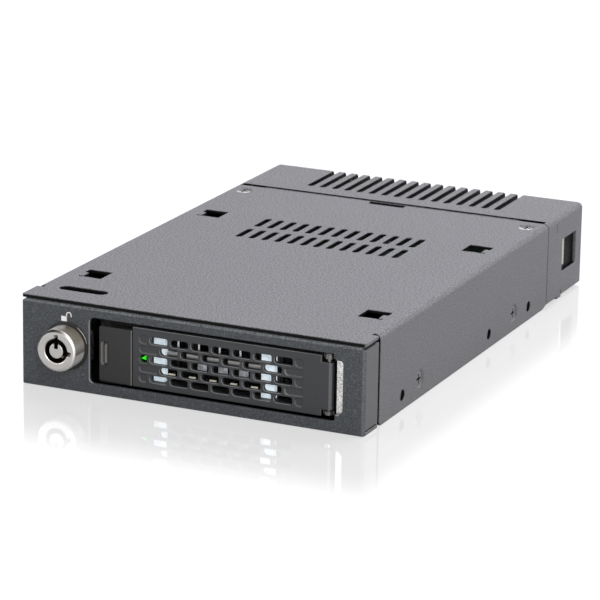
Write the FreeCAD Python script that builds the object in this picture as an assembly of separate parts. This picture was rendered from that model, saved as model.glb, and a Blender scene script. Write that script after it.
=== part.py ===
import FreeCAD, Part
import math
import os
from FreeCAD import Vector

# Hot swap drive cage: one 2.5-inch drive on a removable tray, inside a sheet steel
# cage that fills a 3.5-inch bay. X runs across, Y from the front to the rear, Z up.
# Every piece is drawn with y = 0 on the bezel's face; save() then moves the whole
# cage so that the origin lies on the bottom, under the middle of its bounding box.

# Driving dimensions, in millimetres
WIDTH = 101.6
HEIGHT = 25.4
LENGTH = 164.3          # bezel face to rear face
LOCK_PROUD = 6.0        # lock head, in front of the bezel
SHEET = 1.0             # steel of the covers, the base and the bezel
BEND = 1.6              # outer radius of the covers' bends
HALF = WIDTH / 2

SIDE_START = 10.1       # front edge of the top cover's sides
SEAM = 134.5            # rear edge of the top cover
REAR_START = 134.9      # front edge of the rear cover
FLANGE_TOP = 9.0        # height of the base's side flanges
REAR_FLANGE_TOP = 7.4   # the same, under the rear cover's side window

VENT_PITCH = 4.07
VENT_WIDTH = 1.95
TOP_VENTS = 13
TOP_VENT_ROWS = ((80.0, 89.5), (92.5, 102.0))
REAR_VENTS = 16
REAR_VENT_WIDTH = 2.0
REAR_VENT_MIDDLE = 0.15
REAR_VENT_START = 143.2
REAR_VENT_LOW = 23.6

LANCE_X = 42.1          # the four lanced square windows of the top cover
LANCE_Y = (26.1, 99.7)
LANCE_SIZE = 7.2
LANCE_EAR = 1.4         # how far the sheet stands into a window's outer side
TOP_SCREWS = (45.8, 128.9)
SIDE_SCREW_Z = 5.36
SIDE_SCREW_Y = (37.6, 107.8)
SIDE_MOUNT_Z = 4.16
SIDE_MOUNT_Y = (25.7, 88.6, 119.8)
BOTTOM_MOUNT_X = 47.625 - 1.5
BOTTOM_MOUNT_Y = (38.5, 82.95)
TAP_R = 1.25            # tapping hole of an M3 thread
SINK_OUTER = 3.0        # countersinks, as deep as the sheet
SINK_INNER = 1.35
HEAD_R = 2.55
HEAD_SUNK = 0.2
SHANK_R = 1.15
BURR_R = 2.1            # neck that is drawn up around it
BURR_DEEP = 1.2

LOCK_X = -37.05
LOCK_Z = 12.6
LOCK_HEAD_R = 5.9
LOCK_BODY_R = 5.0
LOCK_BODY_END = 13.6
KEYWAY_R = 3.35
POST_R = 2.1
PLUG_R = 4.0
RUNNING = 0.05          # radial play of a turning part

TRAY_MIDDLE = 6.0
TRAY_HALF = 35.7
TRAY_WALL = 0.75
TRAY_LOW = 3.45
TRAY_WALL_TOP = 12.0
TRAY_FRONT = 9.0        # front edge of the tray's pan
TRAY_END = 110.0
FRAME_FRONT = 4.3       # front face of the tray's moulded frame

DOOR_FRONT = 1.5
DOOR_SHEET = 1.2
DOOR_LEFT = -17.7
DOOR_LOW = 3.5
DOOR_TOP = 20.2
HINGE_X = 39.5
HINGE_Y = 2.8
KNUCKLE_R = 1.3
PIN_R = 0.6
SLOT_ROWS = (17.04, 14.30, 11.61, 8.92, 6.28)
SLOT_PITCH = 6.13
SLOT_LENGTH = 5.2
SLOT_HIGH = 2.0
SLOT_FIRST = -12.6      # left end of the first open slot in the odd rows
SLOT_COUNT = (7, 6, 7, 6, 7)

BUTTON_LEFT = -27.9
BUTTON_RIGHT = -18.05
BUTTON_LOW = 3.4
BUTTON_TOP = 19.1
BUTTON_TRAVEL = 1.6
POCKET_FLOOR = 5.8      # the moulded frame's face behind the button
PEG_X = -23.0           # the button's two guide pegs
PEG_R = 1.0
PEG_LEVELS = (6.3, 16.3)

BOARD_LOW = 4.4
BOARD_THICK = 1.6
BOARD_TOP = BOARD_LOW + BOARD_THICK
BOARD_FRONT = 114.0
BOARD_REAR = 161.0
BOARD_HALF = 46.0
STANDOFFS = ((-42.0, 126.0), (42.0, 126.0), (-42.0, 156.0), (40.0, 156.0))


def save(name, shape):
    """Move a finished piece to the cage's origin and write it."""
    shape = shape.copy()
    shape.translate(Vector(0, (LOCK_PROUD - LENGTH) / 2, 0))
    if not shape.isValid():
        print("not valid:", name)
    shape.exportStep("parts/%s.step" % name)


def outline(corners, place):
    """A face with the given corners (u, v) or (u, v, radius), rounded where asked."""
    points = [place(corner[0], corner[1]) for corner in corners]
    radii = [corner[2] if len(corner) > 2 else 0.0 for corner in corners]
    ends = []
    for i, point in enumerate(points):
        to_last = (points[i - 1] - point).normalize()
        to_next = (points[(i + 1) % len(points)] - point).normalize()
        if radii[i] < 1e-6:
            ends.append((point, None, point))
            continue
        half_turn = to_last.getAngle(to_next) / 2
        reach = radii[i] / math.tan(half_turn)
        middle = (to_last + to_next).normalize() * (radii[i] / math.sin(half_turn) - radii[i])
        ends.append((point + to_last * reach, point + middle, point + to_next * reach))
    edges = []
    for i, (start, middle, end) in enumerate(ends):
        if middle is not None:
            edges.append(Part.Arc(start, middle, end).toShape())
        next_start = ends[(i + 1) % len(ends)][0]
        if end.distanceToPoint(next_start) > 1e-5:
            edges.append(Part.LineSegment(end, next_start).toShape())
    return Part.Face(Part.Wire(edges))


def plate_x(corners, low, high):
    """Corners are (y, z)."""
    return outline(corners, lambda u, v: Vector(low, u, v)).extrude(Vector(high - low, 0, 0))


def plate_y(corners, low, high):
    """Corners are (x, z)."""
    return outline(corners, lambda u, v: Vector(u, low, v)).extrude(Vector(0, high - low, 0))


def plate_z(corners, low, high):
    """Corners are (x, y)."""
    return outline(corners, lambda u, v: Vector(u, v, low)).extrude(Vector(0, 0, high - low))


def rectangle(u0, u1, v0, v1, radius=0.0):
    return [(u0, v0, radius), (u1, v0, radius), (u1, v1, radius), (u0, v1, radius)]


def box(x0, x1, y0, y1, z0, z1):
    return Part.makeBox(x1 - x0, y1 - y0, z1 - z0, Vector(x0, y0, z0))


def rod_x(y, z, radius, x0, x1, end_radius=None):
    return rod(Vector(x0, y, z), Vector(1, 0, 0), radius, x1 - x0, end_radius)


def rod_y(x, z, radius, y0, y1, end_radius=None):
    return rod(Vector(x, y0, z), Vector(0, 1, 0), radius, y1 - y0, end_radius)


def rod_z(x, y, radius, z0, z1, end_radius=None):
    return rod(Vector(x, y, z0), Vector(0, 0, 1), radius, z1 - z0, end_radius)


def rod(start, axis, radius, length, end_radius=None):
    """A cylinder, or a cone where the radius at its far end differs."""
    if end_radius is None:
        return Part.makeCylinder(radius, length, start, axis)
    return Part.makeCone(radius, end_radius, length, start, axis)


def hexagon(x, v, across, place):
    """A six-sided face, 'across' its flats, standing on a corner."""
    reach = across / math.sqrt(3)
    turns = [math.radians(60 * k + 30) for k in range(6)]
    corners = [(x + reach * math.cos(t), v + reach * math.sin(t)) for t in turns]
    return outline(corners, place)


def joined(pieces):
    return pieces[0].fuse(pieces[1:]).removeSplitter()


def cut_out(body, tools):
    return body.cut(tools).removeSplitter()


def mirrored(shape, middle=0.0):
    return shape.mirror(Vector(middle, 0, 0), Vector(1, 0, 0))


def both_sides(shape, middle=0.0):
    return [shape, mirrored(shape, middle)]


# ---------------------------------------------------------------- the cage's sheets

def channel(half, low, top, front, rear):
    """An inverted U of sheet: a top and two sides, bent along Y."""
    inner = half - SHEET
    corners = [(-half, low), (-half, top, BEND), (half, top, BEND), (half, low),
               (inner, low), (inner, top - SHEET, BEND - SHEET),
               (-inner, top - SHEET, BEND - SHEET), (-inner, low)]
    return plate_y(corners, front, rear)


def lance_window(side, y):
    """Square, with an ear of sheet left standing in its outer side."""
    reach = LANCE_SIZE / 2
    inner, ear, outer = side * (LANCE_X - reach), side * (LANCE_X + reach - LANCE_EAR), side * (LANCE_X + reach)
    under = HEIGHT - SHEET - 1
    tools = []
    for edge, start, end in ((ear, y - reach, y + reach), (outer, y - reach, y - reach + 0.8),
                             (outer, y + 0.6, y + reach)):
        tools.append(box(min(inner, edge), max(inner, edge), start, end, under, HEIGHT + 1))
    return tools


def lance_tongue(side, y):
    """The tongue that is pressed down and back from a square window's front edge."""
    start = y - LANCE_SIZE / 2
    top = HEIGHT
    drop = 1.3
    profile = [(start - 0.4, top), (start + 0.1, top), (start + 1.1, top - drop), (start + 3.2, top - drop),
               (start + 3.2, top - drop - SHEET), (start + 0.6, top - drop - SHEET),
               (start - 0.4, top - SHEET)]
    ends = sorted((side * (LANCE_X - 1.4), side * (LANCE_X + LANCE_SIZE / 2 - LANCE_EAR)))
    return plate_x(profile, *ends)


def top_cover():
    under = HEIGHT - SHEET
    strip_half = HALF - 0.04
    neck = HALF - 2.0
    relief = SIDE_START - 1.4
    strip = plate_z([(-strip_half, 0.3, 0.5), (strip_half, 0.3, 0.5), (strip_half, relief), (neck, relief),
                     (neck, SIDE_START + 0.1), (-neck, SIDE_START + 0.1), (-neck, relief),
                     (-strip_half, relief)], under, HEIGHT)
    cover = joined([channel(HALF, 0, HEIGHT, SIDE_START, SEAM), strip])
    tools = []
    for start, end in TOP_VENT_ROWS:
        for k in range(TOP_VENTS):
            x = (k - (TOP_VENTS - 1) / 2) * VENT_PITCH
            tools.append(plate_z(rectangle(x - VENT_WIDTH / 2, x + VENT_WIDTH / 2, start, end, VENT_WIDTH / 2),
                                 under - 1, HEIGHT + 1))
    for side in (-1, 1):
        for y in LANCE_Y:
            tools += lance_window(side, y)
        x, y = side * TOP_SCREWS[0], TOP_SCREWS[1]
        tools.append(rod_z(x, y, SINK_INNER, under, HEIGHT, SINK_OUTER))
        tools.append(rod_z(x, y, SINK_INNER, under - 1, HEIGHT))
        for screw_y in SIDE_SCREW_Y:
            tools.append(rod_x(screw_y, SIDE_SCREW_Z, SINK_INNER, side * (HALF - 0.5) - 1, side * (HALF - 0.5) + 1))
            tools.append(side_cone(side, screw_y, SINK_INNER, SINK_OUTER))
        for mount_y in SIDE_MOUNT_Y:
            tools.append(rod_x(mount_y, SIDE_MOUNT_Z, 1.55, side * HALF - 1.5, side * HALF + 1.5))
    tools.append(plate_z(rectangle(-44.6, -30.1, 8.7, 12.4, 1.85), under - 1, HEIGHT + 1))
    tools.append(box(-6.2, 5.2, SEAM - 2.4, SEAM + 1, under - 1, HEIGHT + 1))
    tools.append(plate_x([(SIDE_START - 1, -1), (SIDE_START + 2, -1), (SIDE_START - 1, 2)], -60, 60))
    tools.append(plate_x([(SEAM - 2.6, 0), (SEAM - 2.6, -1), (SEAM + 1, -1), (SEAM + 1, 1.1)], -60, 60))
    cover = cut_out(cover, tools)
    tongues = [lance_tongue(side, y) for side in (-1, 1) for y in LANCE_Y]
    return joined([cover] + tongues)


def side_cone(side, y, inner_r, outer_r):
    """The countersink of a side screw, in the cover's side."""
    if side > 0:
        return rod_x(y, SIDE_SCREW_Z, inner_r, HALF - SHEET, HALF, outer_r)
    return rod_x(y, SIDE_SCREW_Z, outer_r, -HALF, -HALF + SHEET, inner_r)


REAR_LOW = 0.8
REAR_ROUND = 1.2
TAB_X = (41.9, 48.5)
POWER_X = -24.0
DATA_X = 16.0
POWER_HALF = 12.4
DATA_HALF = 10.6
WINDOW = (147.0, 158.6, 8.0, 17.9)


def rear_cover():
    under = HEIGHT - SHEET
    profile = [(-HALF, REAR_LOW), (-HALF, HEIGHT, BEND), (HALF, HEIGHT, BEND), (HALF, REAR_LOW)]
    outer = plate_y(profile, REAR_START, LENGTH)
    rear_edges = [edge for edge in outer.Edges
                  if min(v.Y for v in edge.Vertexes) > LENGTH - 0.01
                  and max(v.Z for v in edge.Vertexes) > REAR_LOW + 0.01]
    outer = outer.makeFillet(REAR_ROUND, rear_edges)
    inner_half = HALF - SHEET
    inner = plate_y([(-inner_half, -1), (-inner_half, under, BEND - SHEET), (inner_half, under, BEND - SHEET),
                     (inner_half, -1)], REAR_START - 1, LENGTH - SHEET)
    cover = outer.cut(inner)
    tools = []
    for k in range(REAR_VENTS):
        x = REAR_VENT_MIDDLE + (k - (REAR_VENTS - 1) / 2) * VENT_PITCH
        left, right = x - REAR_VENT_WIDTH / 2, x + REAR_VENT_WIDTH / 2
        round_end = REAR_VENT_WIDTH / 2
        tools.append(plate_z([(left, REAR_VENT_START, round_end), (right, REAR_VENT_START, round_end),
                              (right, LENGTH + 1), (left, LENGTH + 1)], under - 1.5, HEIGHT + 1))
        tools.append(plate_y([(left, REAR_VENT_LOW, round_end), (right, REAR_VENT_LOW, round_end),
                              (right, HEIGHT + 1), (left, HEIGHT + 1)], LENGTH - 2.5, LENGTH + 1))
    tools.append(plate_x(rectangle(*WINDOW, 0.5), HALF - 1.5, HALF + 1))
    tools.append(box(HALF - 1.5, HALF + 1, 141.9, 142.2, 20.8, 23.6))
    tools.append(box(HALF - 1.5, HALF + 1, 146.6, 147.2, 0, 2.4))
    tools.append(plate_y(rectangle(POWER_X - POWER_HALF, POWER_X + POWER_HALF, 5.2, 14.0, 0.6),
                         LENGTH - 2, LENGTH + 1))
    tools.append(plate_y(rectangle(DATA_X - DATA_HALF, DATA_X + DATA_HALF, 5.2, 13.2, 0.6),
                         LENGTH - 2, LENGTH + 1))
    for side in (-1, 1):
        for edge in TAB_X:
            tools.append(box(side * edge - 0.55, side * edge + 0.55, REAR_START - 1, REAR_START + 1.5,
                             under - 1, HEIGHT + 1))
        middle = side * sum(TAB_X) / 2
        tools.append(box(middle - 3.0, middle + 3.0, REAR_START - 1, REAR_START + 1.1, under - 1, HEIGHT + 1))
    cover = cut_out(cover, tools)
    drop = under - 0.1
    tab = plate_x([(123.9, drop), (135.0, drop), (136.3, under + 0.5), (136.3, under),
                   (135.6, drop - SHEET), (123.9, drop - SHEET)], TAB_X[0] + 0.55, TAB_X[1] - 0.55)
    tab = tab.cut(rod_z(TOP_SCREWS[0], TOP_SCREWS[1], 1.2, drop - 2, drop + 1))
    return joined([cover] + both_sides(tab))


def base_tray():
    half = HALF - SHEET - 0.1
    inner = half - SHEET
    bend = BEND - 0.4
    lower = BEND - SHEET
    high = plate_y([(-half, FLANGE_TOP), (-half, 0, bend), (half, 0, bend), (half, FLANGE_TOP),
                    (inner, FLANGE_TOP), (inner, SHEET, bend - lower), (-inner, SHEET, bend - lower),
                    (-inner, FLANGE_TOP)], SIDE_START + 0.7, LENGTH - SHEET - 0.4)
    step = box(-60, 60, REAR_START + 1, LENGTH, REAR_FLANGE_TOP, 20)
    lip_half = HALF - 0.1
    neck = HALF - 2.2
    front = SHEET + 0.1
    lip = plate_z([(-lip_half, front, 0.4), (lip_half, front, 0.4), (lip_half, 9.1), (neck, 9.1),
                   (neck, SIDE_START + 0.8), (-neck, SIDE_START + 0.8), (-neck, 9.1), (-lip_half, 9.1)],
                  0, SHEET)
    tabs = both_sides(box(half - 1.4, HALF - 0.2, 144.2, 147.6, 0, 0.7))
    pieces = [high, lip] + tabs
    holes = [step]
    for side in (-1, 1):
        for y in SIDE_MOUNT_Y:
            pieces.append(inward_burr(side, y, SIDE_MOUNT_Z, inner, BURR_R))
            holes.append(rod_x(y, SIDE_MOUNT_Z, TAP_R, side * half - 3, side * half + 3))
        for y in SIDE_SCREW_Y:
            pieces.append(inward_burr(side, y, SIDE_SCREW_Z, inner, BURR_R))
            holes.append(rod_x(y, SIDE_SCREW_Z, 1.2, side * half - 3, side * half + 3))
        for y in BOTTOM_MOUNT_Y:
            pieces.append(rod_z(side * BOTTOM_MOUNT_X, y, BURR_R, SHEET / 2, SHEET + BURR_DEEP))
            holes.append(rod_z(side * BOTTOM_MOUNT_X, y, TAP_R, -1, 5))
    for x, y in STANDOFFS:
        holes.append(rod_z(x, y, 1.5, -1, 2))
    for x, y in RAIL_SCREWS + (STRIKE_SCREW,):
        holes.append(rod_z(x, y, SINK_OUTER, 0, SHEET, SINK_INNER))
        holes.append(rod_z(x, y, SINK_INNER, -1, SHEET + 0.2))
    return cut_out(joined(pieces), holes)


def inward_burr(side, y, z, wall, radius):
    """The neck that a tapped hole's punch draws inwards from a side flange."""
    if side > 0:
        return rod_x(y, z, radius, wall - BURR_DEEP, wall + SHEET / 2)
    return rod_x(y, z, radius, -wall - SHEET / 2, -wall + BURR_DEEP)


BEZEL_HALF = HALF - 0.02
BEZEL_BEND = 0.9
BEZEL_LOW = 0.05
FLANGE_LOW = SHEET + 0.35            # its sides stand on the base's lip
BEZEL_TOP = HEIGHT - SHEET - 0.1
BEZEL_DEEP = 9.0
RELIEF = 1.1                         # relief where two bends would meet: its width
RELIEF_DEEP = 0.7                    # and how far it reaches down
FLAP_FOLD = 1.05                      # height that the top flap's fold takes up
BAY = (-30.0, 42.3, 3.05, 21.5)      # the bezel's opening: left, right, low, top
NOTCH = (44.5, 5.0, 19.8)            # its step on the right: right, low, top


def front_bezel():
    half = BEZEL_HALF
    inner = half - SHEET
    root = BEZEL_TOP - RELIEF_DEEP
    fold = BEZEL_TOP - FLAP_FOLD
    turned = plate_z([(-half, BEZEL_DEEP), (-half, 0, BEZEL_BEND), (half, 0, BEZEL_BEND), (half, BEZEL_DEEP),
                      (inner, BEZEL_DEEP), (inner, SHEET, 0.2), (-inner, SHEET, 0.2), (-inner, BEZEL_DEEP)],
                     BEZEL_LOW, root)
    turned = turned.cut(box(-60, 60, SHEET, BEZEL_DEEP + 1, 0, FLANGE_LOW))
    flap_half = half - RELIEF
    turned = turned.cut(box(-flap_half, flap_half, -1, SHEET + 0.3, fold, BEZEL_TOP))
    flap = plate_x([(0, fold - 0.1), (0, BEZEL_TOP, 0.9), (8.4, BEZEL_TOP), (8.4, BEZEL_TOP - SHEET),
                    (SHEET, BEZEL_TOP - SHEET, 0.15), (SHEET, fold - 0.1)], -flap_half, flap_half)
    tongue = plate_z([(inner, 6.0), (half, BEZEL_DEEP - 0.2), (inner - 1.15, 10.6), (inner - 1.15, 22.0),
                      (inner - 2.15, 22.0), (inner - 2.15, 10.2)], 3.0, FLANGE_TOP)
    bay = [(BAY[0], BAY[2], 1.5), (BAY[1], BAY[2], 0.8), (BAY[1], NOTCH[1]), (NOTCH[0] - 1.0, NOTCH[1]),
           (NOTCH[0], NOTCH[1] + 1.2), (NOTCH[0], NOTCH[2], 0.8), (BAY[1], NOTCH[2]),
           (BAY[1], BAY[3], 0.8), (BAY[0], BAY[3], 1.5)]
    tools = [plate_y(bay, -1, SHEET + 0.5), rod_y(LOCK_X, LOCK_Z, LOCK_BODY_R + 0.1, -1, 3)]
    return cut_out(joined([turned, flap] + both_sides(tongue)), tools)


STRIKE_SCREW = (45.0, 10.0)


def latch_strike():
    """The plated angle that stands behind the bezel's step."""
    low = SHEET + 0.05
    angle = plate_x([(1.05, 21.2), (1.05, low, 1.3), (14.0, low), (14.0, low + SHEET),
                     (2.05, low + SHEET, 0.3), (2.05, 21.2)], 42.4, 47.3)
    slant = plate_y([(40, 23), (43.4, 23), (40, 19.6)], 0, 4)
    hole = rod_z(STRIKE_SCREW[0], STRIKE_SCREW[1], SHANK_R, 0, 5)
    return cut_out(angle, [slant, hole])


# ---------------------------------------------------------------- guides and screws

RAIL_FRONT = 27.5
RAIL_REAR = 112.0
RAIL_SCREWS = ((45.4, 32.0), (45.4, 100.0), (-33.4, 32.0), (-33.4, 100.0))


def guide_rail():
    """The right rail: a ledge under the tray's wall, a lip over it and two screw bosses."""
    wall = TRAY_MIDDLE + TRAY_HALF + 0.35
    low = SHEET + 0.05
    ledge = TRAY_LOW - 0.15
    lip = TRAY_WALL_TOP + 0.5
    profile = [(wall - 3.6, low), (wall + 1.5, low), (wall + 1.5, lip + 1.2, 0.5),
               (wall - 2.0, lip + 1.2), (wall - 2.0, lip), (wall, lip), (wall, ledge), (wall - 3.6, ledge)]
    rail = plate_y(profile, RAIL_FRONT, RAIL_REAR)
    ramp = plate_x([(RAIL_FRONT - 1, ledge - 1.0), (RAIL_FRONT - 1, lip + 1.5), (RAIL_FRONT, lip + 1.5),
                    (RAIL_FRONT + 3, lip - 0.01), (RAIL_FRONT + 3, ledge + 0.01), (RAIL_FRONT, ledge - 1.0)],
                   wall - 3.7, wall - 0.01)
    seats = [place for place in RAIL_SCREWS if place[0] > 0]
    bosses = [rod_z(x, y, 2.2, low, 6.6) for x, y in seats]
    bores = [rod_z(x, y, SHANK_R, 0, 5.8) for x, y in seats]
    rail = cut_out(rail, [ramp])
    return cut_out(joined([rail] + bosses), bores)


def cross(depth, reach, bar):
    """A Phillips recess, pointing down from the origin."""
    bars = [Part.makeBox(2 * reach, bar, depth, Vector(-reach, -bar / 2, -depth)),
            Part.makeBox(bar, 2 * reach, depth, Vector(-bar / 2, -reach, -depth))]
    return bars[0].fuse(bars[1])


def flat_screw(length):
    """A countersunk screw with its head's rim at the origin, pointing down."""
    seat = SHEET - HEAD_SUNK
    head = Part.makeCone(SHANK_R, HEAD_R, seat, Vector(0, 0, -seat))
    crown = Part.makeCone(HEAD_R, HEAD_R - 0.5, HEAD_SUNK)
    shank = Part.makeCylinder(SHANK_R, length, Vector(0, 0, -length))
    screw = joined([head, crown, shank])
    return screw.cut(cross(1.2, 1.4, 0.55).translate(Vector(0, 0, HEAD_SUNK)))


def pan_screw(length):
    """A small pan-head screw with its head's seat at the origin, pointing down."""
    head = Part.makeCone(2.7, 2.1, 1.7)
    shank = Part.makeCylinder(SHANK_R, length, Vector(0, 0, -length))
    return joined([head, shank]).cut(cross(1.2, 1.4, 0.55).translate(Vector(0, 0, 1.7)))


def placed(shape, where, axis):
    """Turn a screw's head (+Z) to face along the axis, and move it."""
    turned = shape.copy()
    turned.Placement = FreeCAD.Placement(where, FreeCAD.Rotation(Vector(0, 0, 1), axis))
    return turned


def top_screws():
    screw = flat_screw(4.2)
    return [placed(screw, Vector(side * TOP_SCREWS[0], TOP_SCREWS[1], HEIGHT - HEAD_SUNK), Vector(0, 0, 1))
            for side in (-1, 1)]


def side_screws():
    screw = flat_screw(3.6)
    return [placed(screw, Vector(side * (HALF - HEAD_SUNK), y, SIDE_SCREW_Z), Vector(side, 0, 0))
            for side in (-1, 1) for y in SIDE_SCREW_Y]


def rail_screws():
    screw = flat_screw(5.4)
    return [placed(screw, Vector(x, y, HEAD_SUNK), Vector(0, 0, -1)) for x, y in RAIL_SCREWS]


def strike_screw():
    return placed(flat_screw(3.4), Vector(STRIKE_SCREW[0], STRIKE_SCREW[1], HEAD_SUNK), Vector(0, 0, -1))


# ---------------------------------------------------------------- the key lock

def lock_point(radius, y):
    return Vector(LOCK_X + radius, y, LOCK_Z)


def turned_on_lock(profile):
    """Revolve an outline of (radius, y) corners about the lock's axis."""
    return outline(profile, lock_point).revolve(Vector(LOCK_X, 0, LOCK_Z), Vector(0, 1, 0), 360)


def lock_barrel():
    face = -LOCK_PROUD
    plug_bore = PLUG_R + RUNNING
    barrel = turned_on_lock([
        (KEYWAY_R, face + 0.25), (KEYWAY_R + 0.25, face), (LOCK_HEAD_R, face, 0.9), (LOCK_HEAD_R, -0.5),
        (LOCK_BODY_R, -0.5), (LOCK_BODY_R, LOCK_BODY_END), (plug_bore, LOCK_BODY_END), (plug_bore, -0.5),
        (KEYWAY_R, -0.5)])
    notches = []
    for turn in (0, 97):
        notch = box(LOCK_X - 0.65, LOCK_X + 0.65, face - 1, face + 3.5, LOCK_Z + 2.0, LOCK_Z + 4.5)
        notch.rotate(Vector(LOCK_X, 0, LOCK_Z), Vector(0, 1, 0), turn)
        notches.append(notch)
    return cut_out(barrel, notches)


def lock_plug():
    """The turning post and plug, with the square that carries the cam."""
    post = turned_on_lock([(0, -5.85), (POST_R, -5.85, 0.2), (POST_R, -0.4), (PLUG_R, -0.4),
                           (PLUG_R, 14.2), (0, 14.2)])
    square = box(LOCK_X - 2.2, LOCK_X + 2.2, 14.1, 15.6, LOCK_Z - 2.2, LOCK_Z + 2.2)
    notch = box(LOCK_X - 0.55, LOCK_X + 0.55, -7, -3.5, LOCK_Z + 0.6, LOCK_Z + 3)
    return cut_out(joined([post, square]), [notch])


def lock_pins():
    """Seven tumbler pins, standing in the ring between the post and the barrel."""
    ring = (KEYWAY_R + POST_R) / 2
    pins = []
    for k in range(7):
        turn = math.radians(360 * (k + 0.5) / 7)
        pins.append(rod_y(LOCK_X + ring * math.sin(turn), LOCK_Z + ring * math.cos(turn), 0.45, -2.6, -0.4))
    return Part.makeCompound(pins)


def lock_cam():
    cam = plate_y([(LOCK_X - 3.2, LOCK_Z - 3.2, 1.5), (LOCK_X + 3.2, LOCK_Z - 3.2, 1.5),
                   (LOCK_X + 2.5, LOCK_Z + 9.4, 0.8), (LOCK_X - 2.5, LOCK_Z + 9.4, 0.8)], 14.2, 15.4)
    return cam.cut(box(LOCK_X - 2.2, LOCK_X + 2.2, 14, 16, LOCK_Z - 2.2, LOCK_Z + 2.2))


def lock_nut():
    nut = hexagon(LOCK_X, LOCK_Z, 13.0, lambda u, v: Vector(u, 1.05, v)).extrude(Vector(0, 2.4, 0))
    return nut.cut(rod_y(LOCK_X, LOCK_Z, LOCK_BODY_R, 0, 5))


def lock_washer():
    return turned_on_lock([(LOCK_BODY_R, -0.48), (6.6, -0.48), (6.75, -0.3), (6.75, 0), (LOCK_BODY_R, 0)])


# ---------------------------------------------------------------- the drive tray

def tray_x(side, inset=0.0):
    return TRAY_MIDDLE + side * (TRAY_HALF - inset)


DRIVE_HOLES = (30.86, 27.0, 103.6)   # half spacing across, front row, rear row


def tray_pan():
    left, right = tray_x(-1), tray_x(1)
    low = TRAY_LOW
    profile = [(left, 20.6), (left, low, 1.0), (right, low, 1.0), (right, 20.6), (right - TRAY_WALL, 20.6),
               (right - TRAY_WALL, low + TRAY_WALL, 0.25), (left + TRAY_WALL, low + TRAY_WALL, 0.25),
               (left + TRAY_WALL, 20.6)]
    pan = plate_y(profile, TRAY_FRONT, TRAY_END)
    shoulder = plate_x([(20.0, 21), (20.0, 20.6, 2.0), (26.0, TRAY_WALL_TOP, 2.0), (TRAY_END + 1, TRAY_WALL_TOP),
                        (TRAY_END + 1, 21)], -60, 60)
    cam_slot = box(left - 1, left + 2, 13.2, 16.4, 9.9, 20.2)
    floor_cuts = []
    for start, end in ((34.0, 58.0), (64.0, 96.0)):
        floor_cuts.append(plate_z(rectangle(left + 10, right - 10, start, end, 3.0), low - 1, low + 2))
    for side in (-1, 1):
        for y in DRIVE_HOLES[1:]:
            floor_cuts.append(rod_z(TRAY_MIDDLE + side * DRIVE_HOLES[0], y, 1.6, low - 1, low + 2))
    rear_notch = plate_z(rectangle(TRAY_MIDDLE - 20, TRAY_MIDDLE + 26, 106.0, 120.0, 2.0), low - 1, low + 2)
    return cut_out(pan, [shoulder, cam_slot, rear_notch] + floor_cuts)


FRAME_OPEN = (-13.9, 35.8, 4.7, 19.3)


def tray_frame():
    """The moulded front of the tray: a ring behind the door and a pocket for the button."""
    left, right = tray_x(-1), tray_x(1)
    front = plate_y(rectangle(left, right, 3.4, 21.1, 0.6), FRAME_FRONT, TRAY_FRONT - 0.05)
    inset = TRAY_WALL + 0.05
    rear = box(left + inset, right - inset, TRAY_FRONT - 0.1, 12.4, TRAY_LOW + TRAY_WALL + 0.2, 20.5)
    pocket = box(left - 1, DOOR_LEFT - 0.2, 0, POCKET_FLOOR, 0, 30)
    opening = plate_y(rectangle(*FRAME_OPEN, 0.5), 0, 20)
    bracket = box(36.8, right + 1, 0, 5.85, 0, 30)
    peg_bores = [rod_y(PEG_X, z, PEG_R + 0.1, 0, 11.6) for z in PEG_LEVELS]
    led_bore = rod_y(LED[0], LED[1], LED_R + 0.02, 0, 8.0)
    return cut_out(joined([front, rear]), [pocket, opening, bracket, led_bore] + peg_bores)


LED = (-15.6, 11.2)
LED_R = 1.0


def status_led():
    lens = rod_y(LED[0], LED[1], LED_R, FRAME_FRONT - 0.1, 8.0)
    dome = Part.makeSphere(LED_R, Vector(LED[0], FRAME_FRONT - 0.1, LED[1]))
    return joined([lens, dome])


def inner_grille():
    """The plated, pierced sheet behind the door: square windows and round-ended slots."""
    x0, x1, z0, z1 = FRAME_OPEN
    front, back = 7.0, 7.8
    sheet = plate_y(rectangle(x0, x1, z0, z1, 0.5), front, back)
    tools = []
    for row, z in enumerate(SLOT_ROWS):
        level = z - 1.75
        for k in range(SLOT_COUNT[row]):
            shift = SLOT_PITCH / 2 if row % 2 else 0.0
            x = SLOT_FIRST + shift + k * SLOT_PITCH
            if row % 2:
                tools.append(plate_y(rectangle(x - 0.9, x + 2.7, level - 0.7, level + 0.5, 0.55), 0, 20))
            else:
                tools.append(box(x + 0.05, x + 3.6, 0, 20, level - 1.1, level + 0.9))
    return cut_out(sheet, [tool for tool in tools if tool.BoundBox.XMin > x0 + 0.3])


GUIDES = ((-13.3, -9.8), (18.6, 22.6))


def light_guides():
    posts = []
    for left, right in GUIDES:
        post = plate_z([(left, 5.1, 0.4), (right, 5.1, 0.4), (right, 6.9), (left, 6.9)], FRAME_OPEN[2] + 0.05,
                       FRAME_OPEN[3] - 0.05)
        posts.append(post)
    return Part.makeCompound(posts)


LUG_LEVELS = ((3.9, 4.9), (19.3, 20.4))
DOOR_CUT = (5.3, 18.3)                # the door's two cut corners, at the lugs


def hinge_bracket():
    """Two lugs for the door's pin, on a web that is let into the moulded frame."""
    pieces = [box(36.9, 41.0, 5.0, 5.8, LUG_LEVELS[0][0], LUG_LEVELS[1][1] - 0.5)]
    for low, high in LUG_LEVELS:
        pieces.append(rod_z(HINGE_X, HINGE_Y, 1.25, low, high))
        pieces.append(box(HINGE_X - 1.6, HINGE_X + 1.5, HINGE_Y, 5.4, low, high))
    return cut_out(joined(pieces), [rod_z(HINGE_X, HINGE_Y, PIN_R, 0, 30)])


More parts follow.
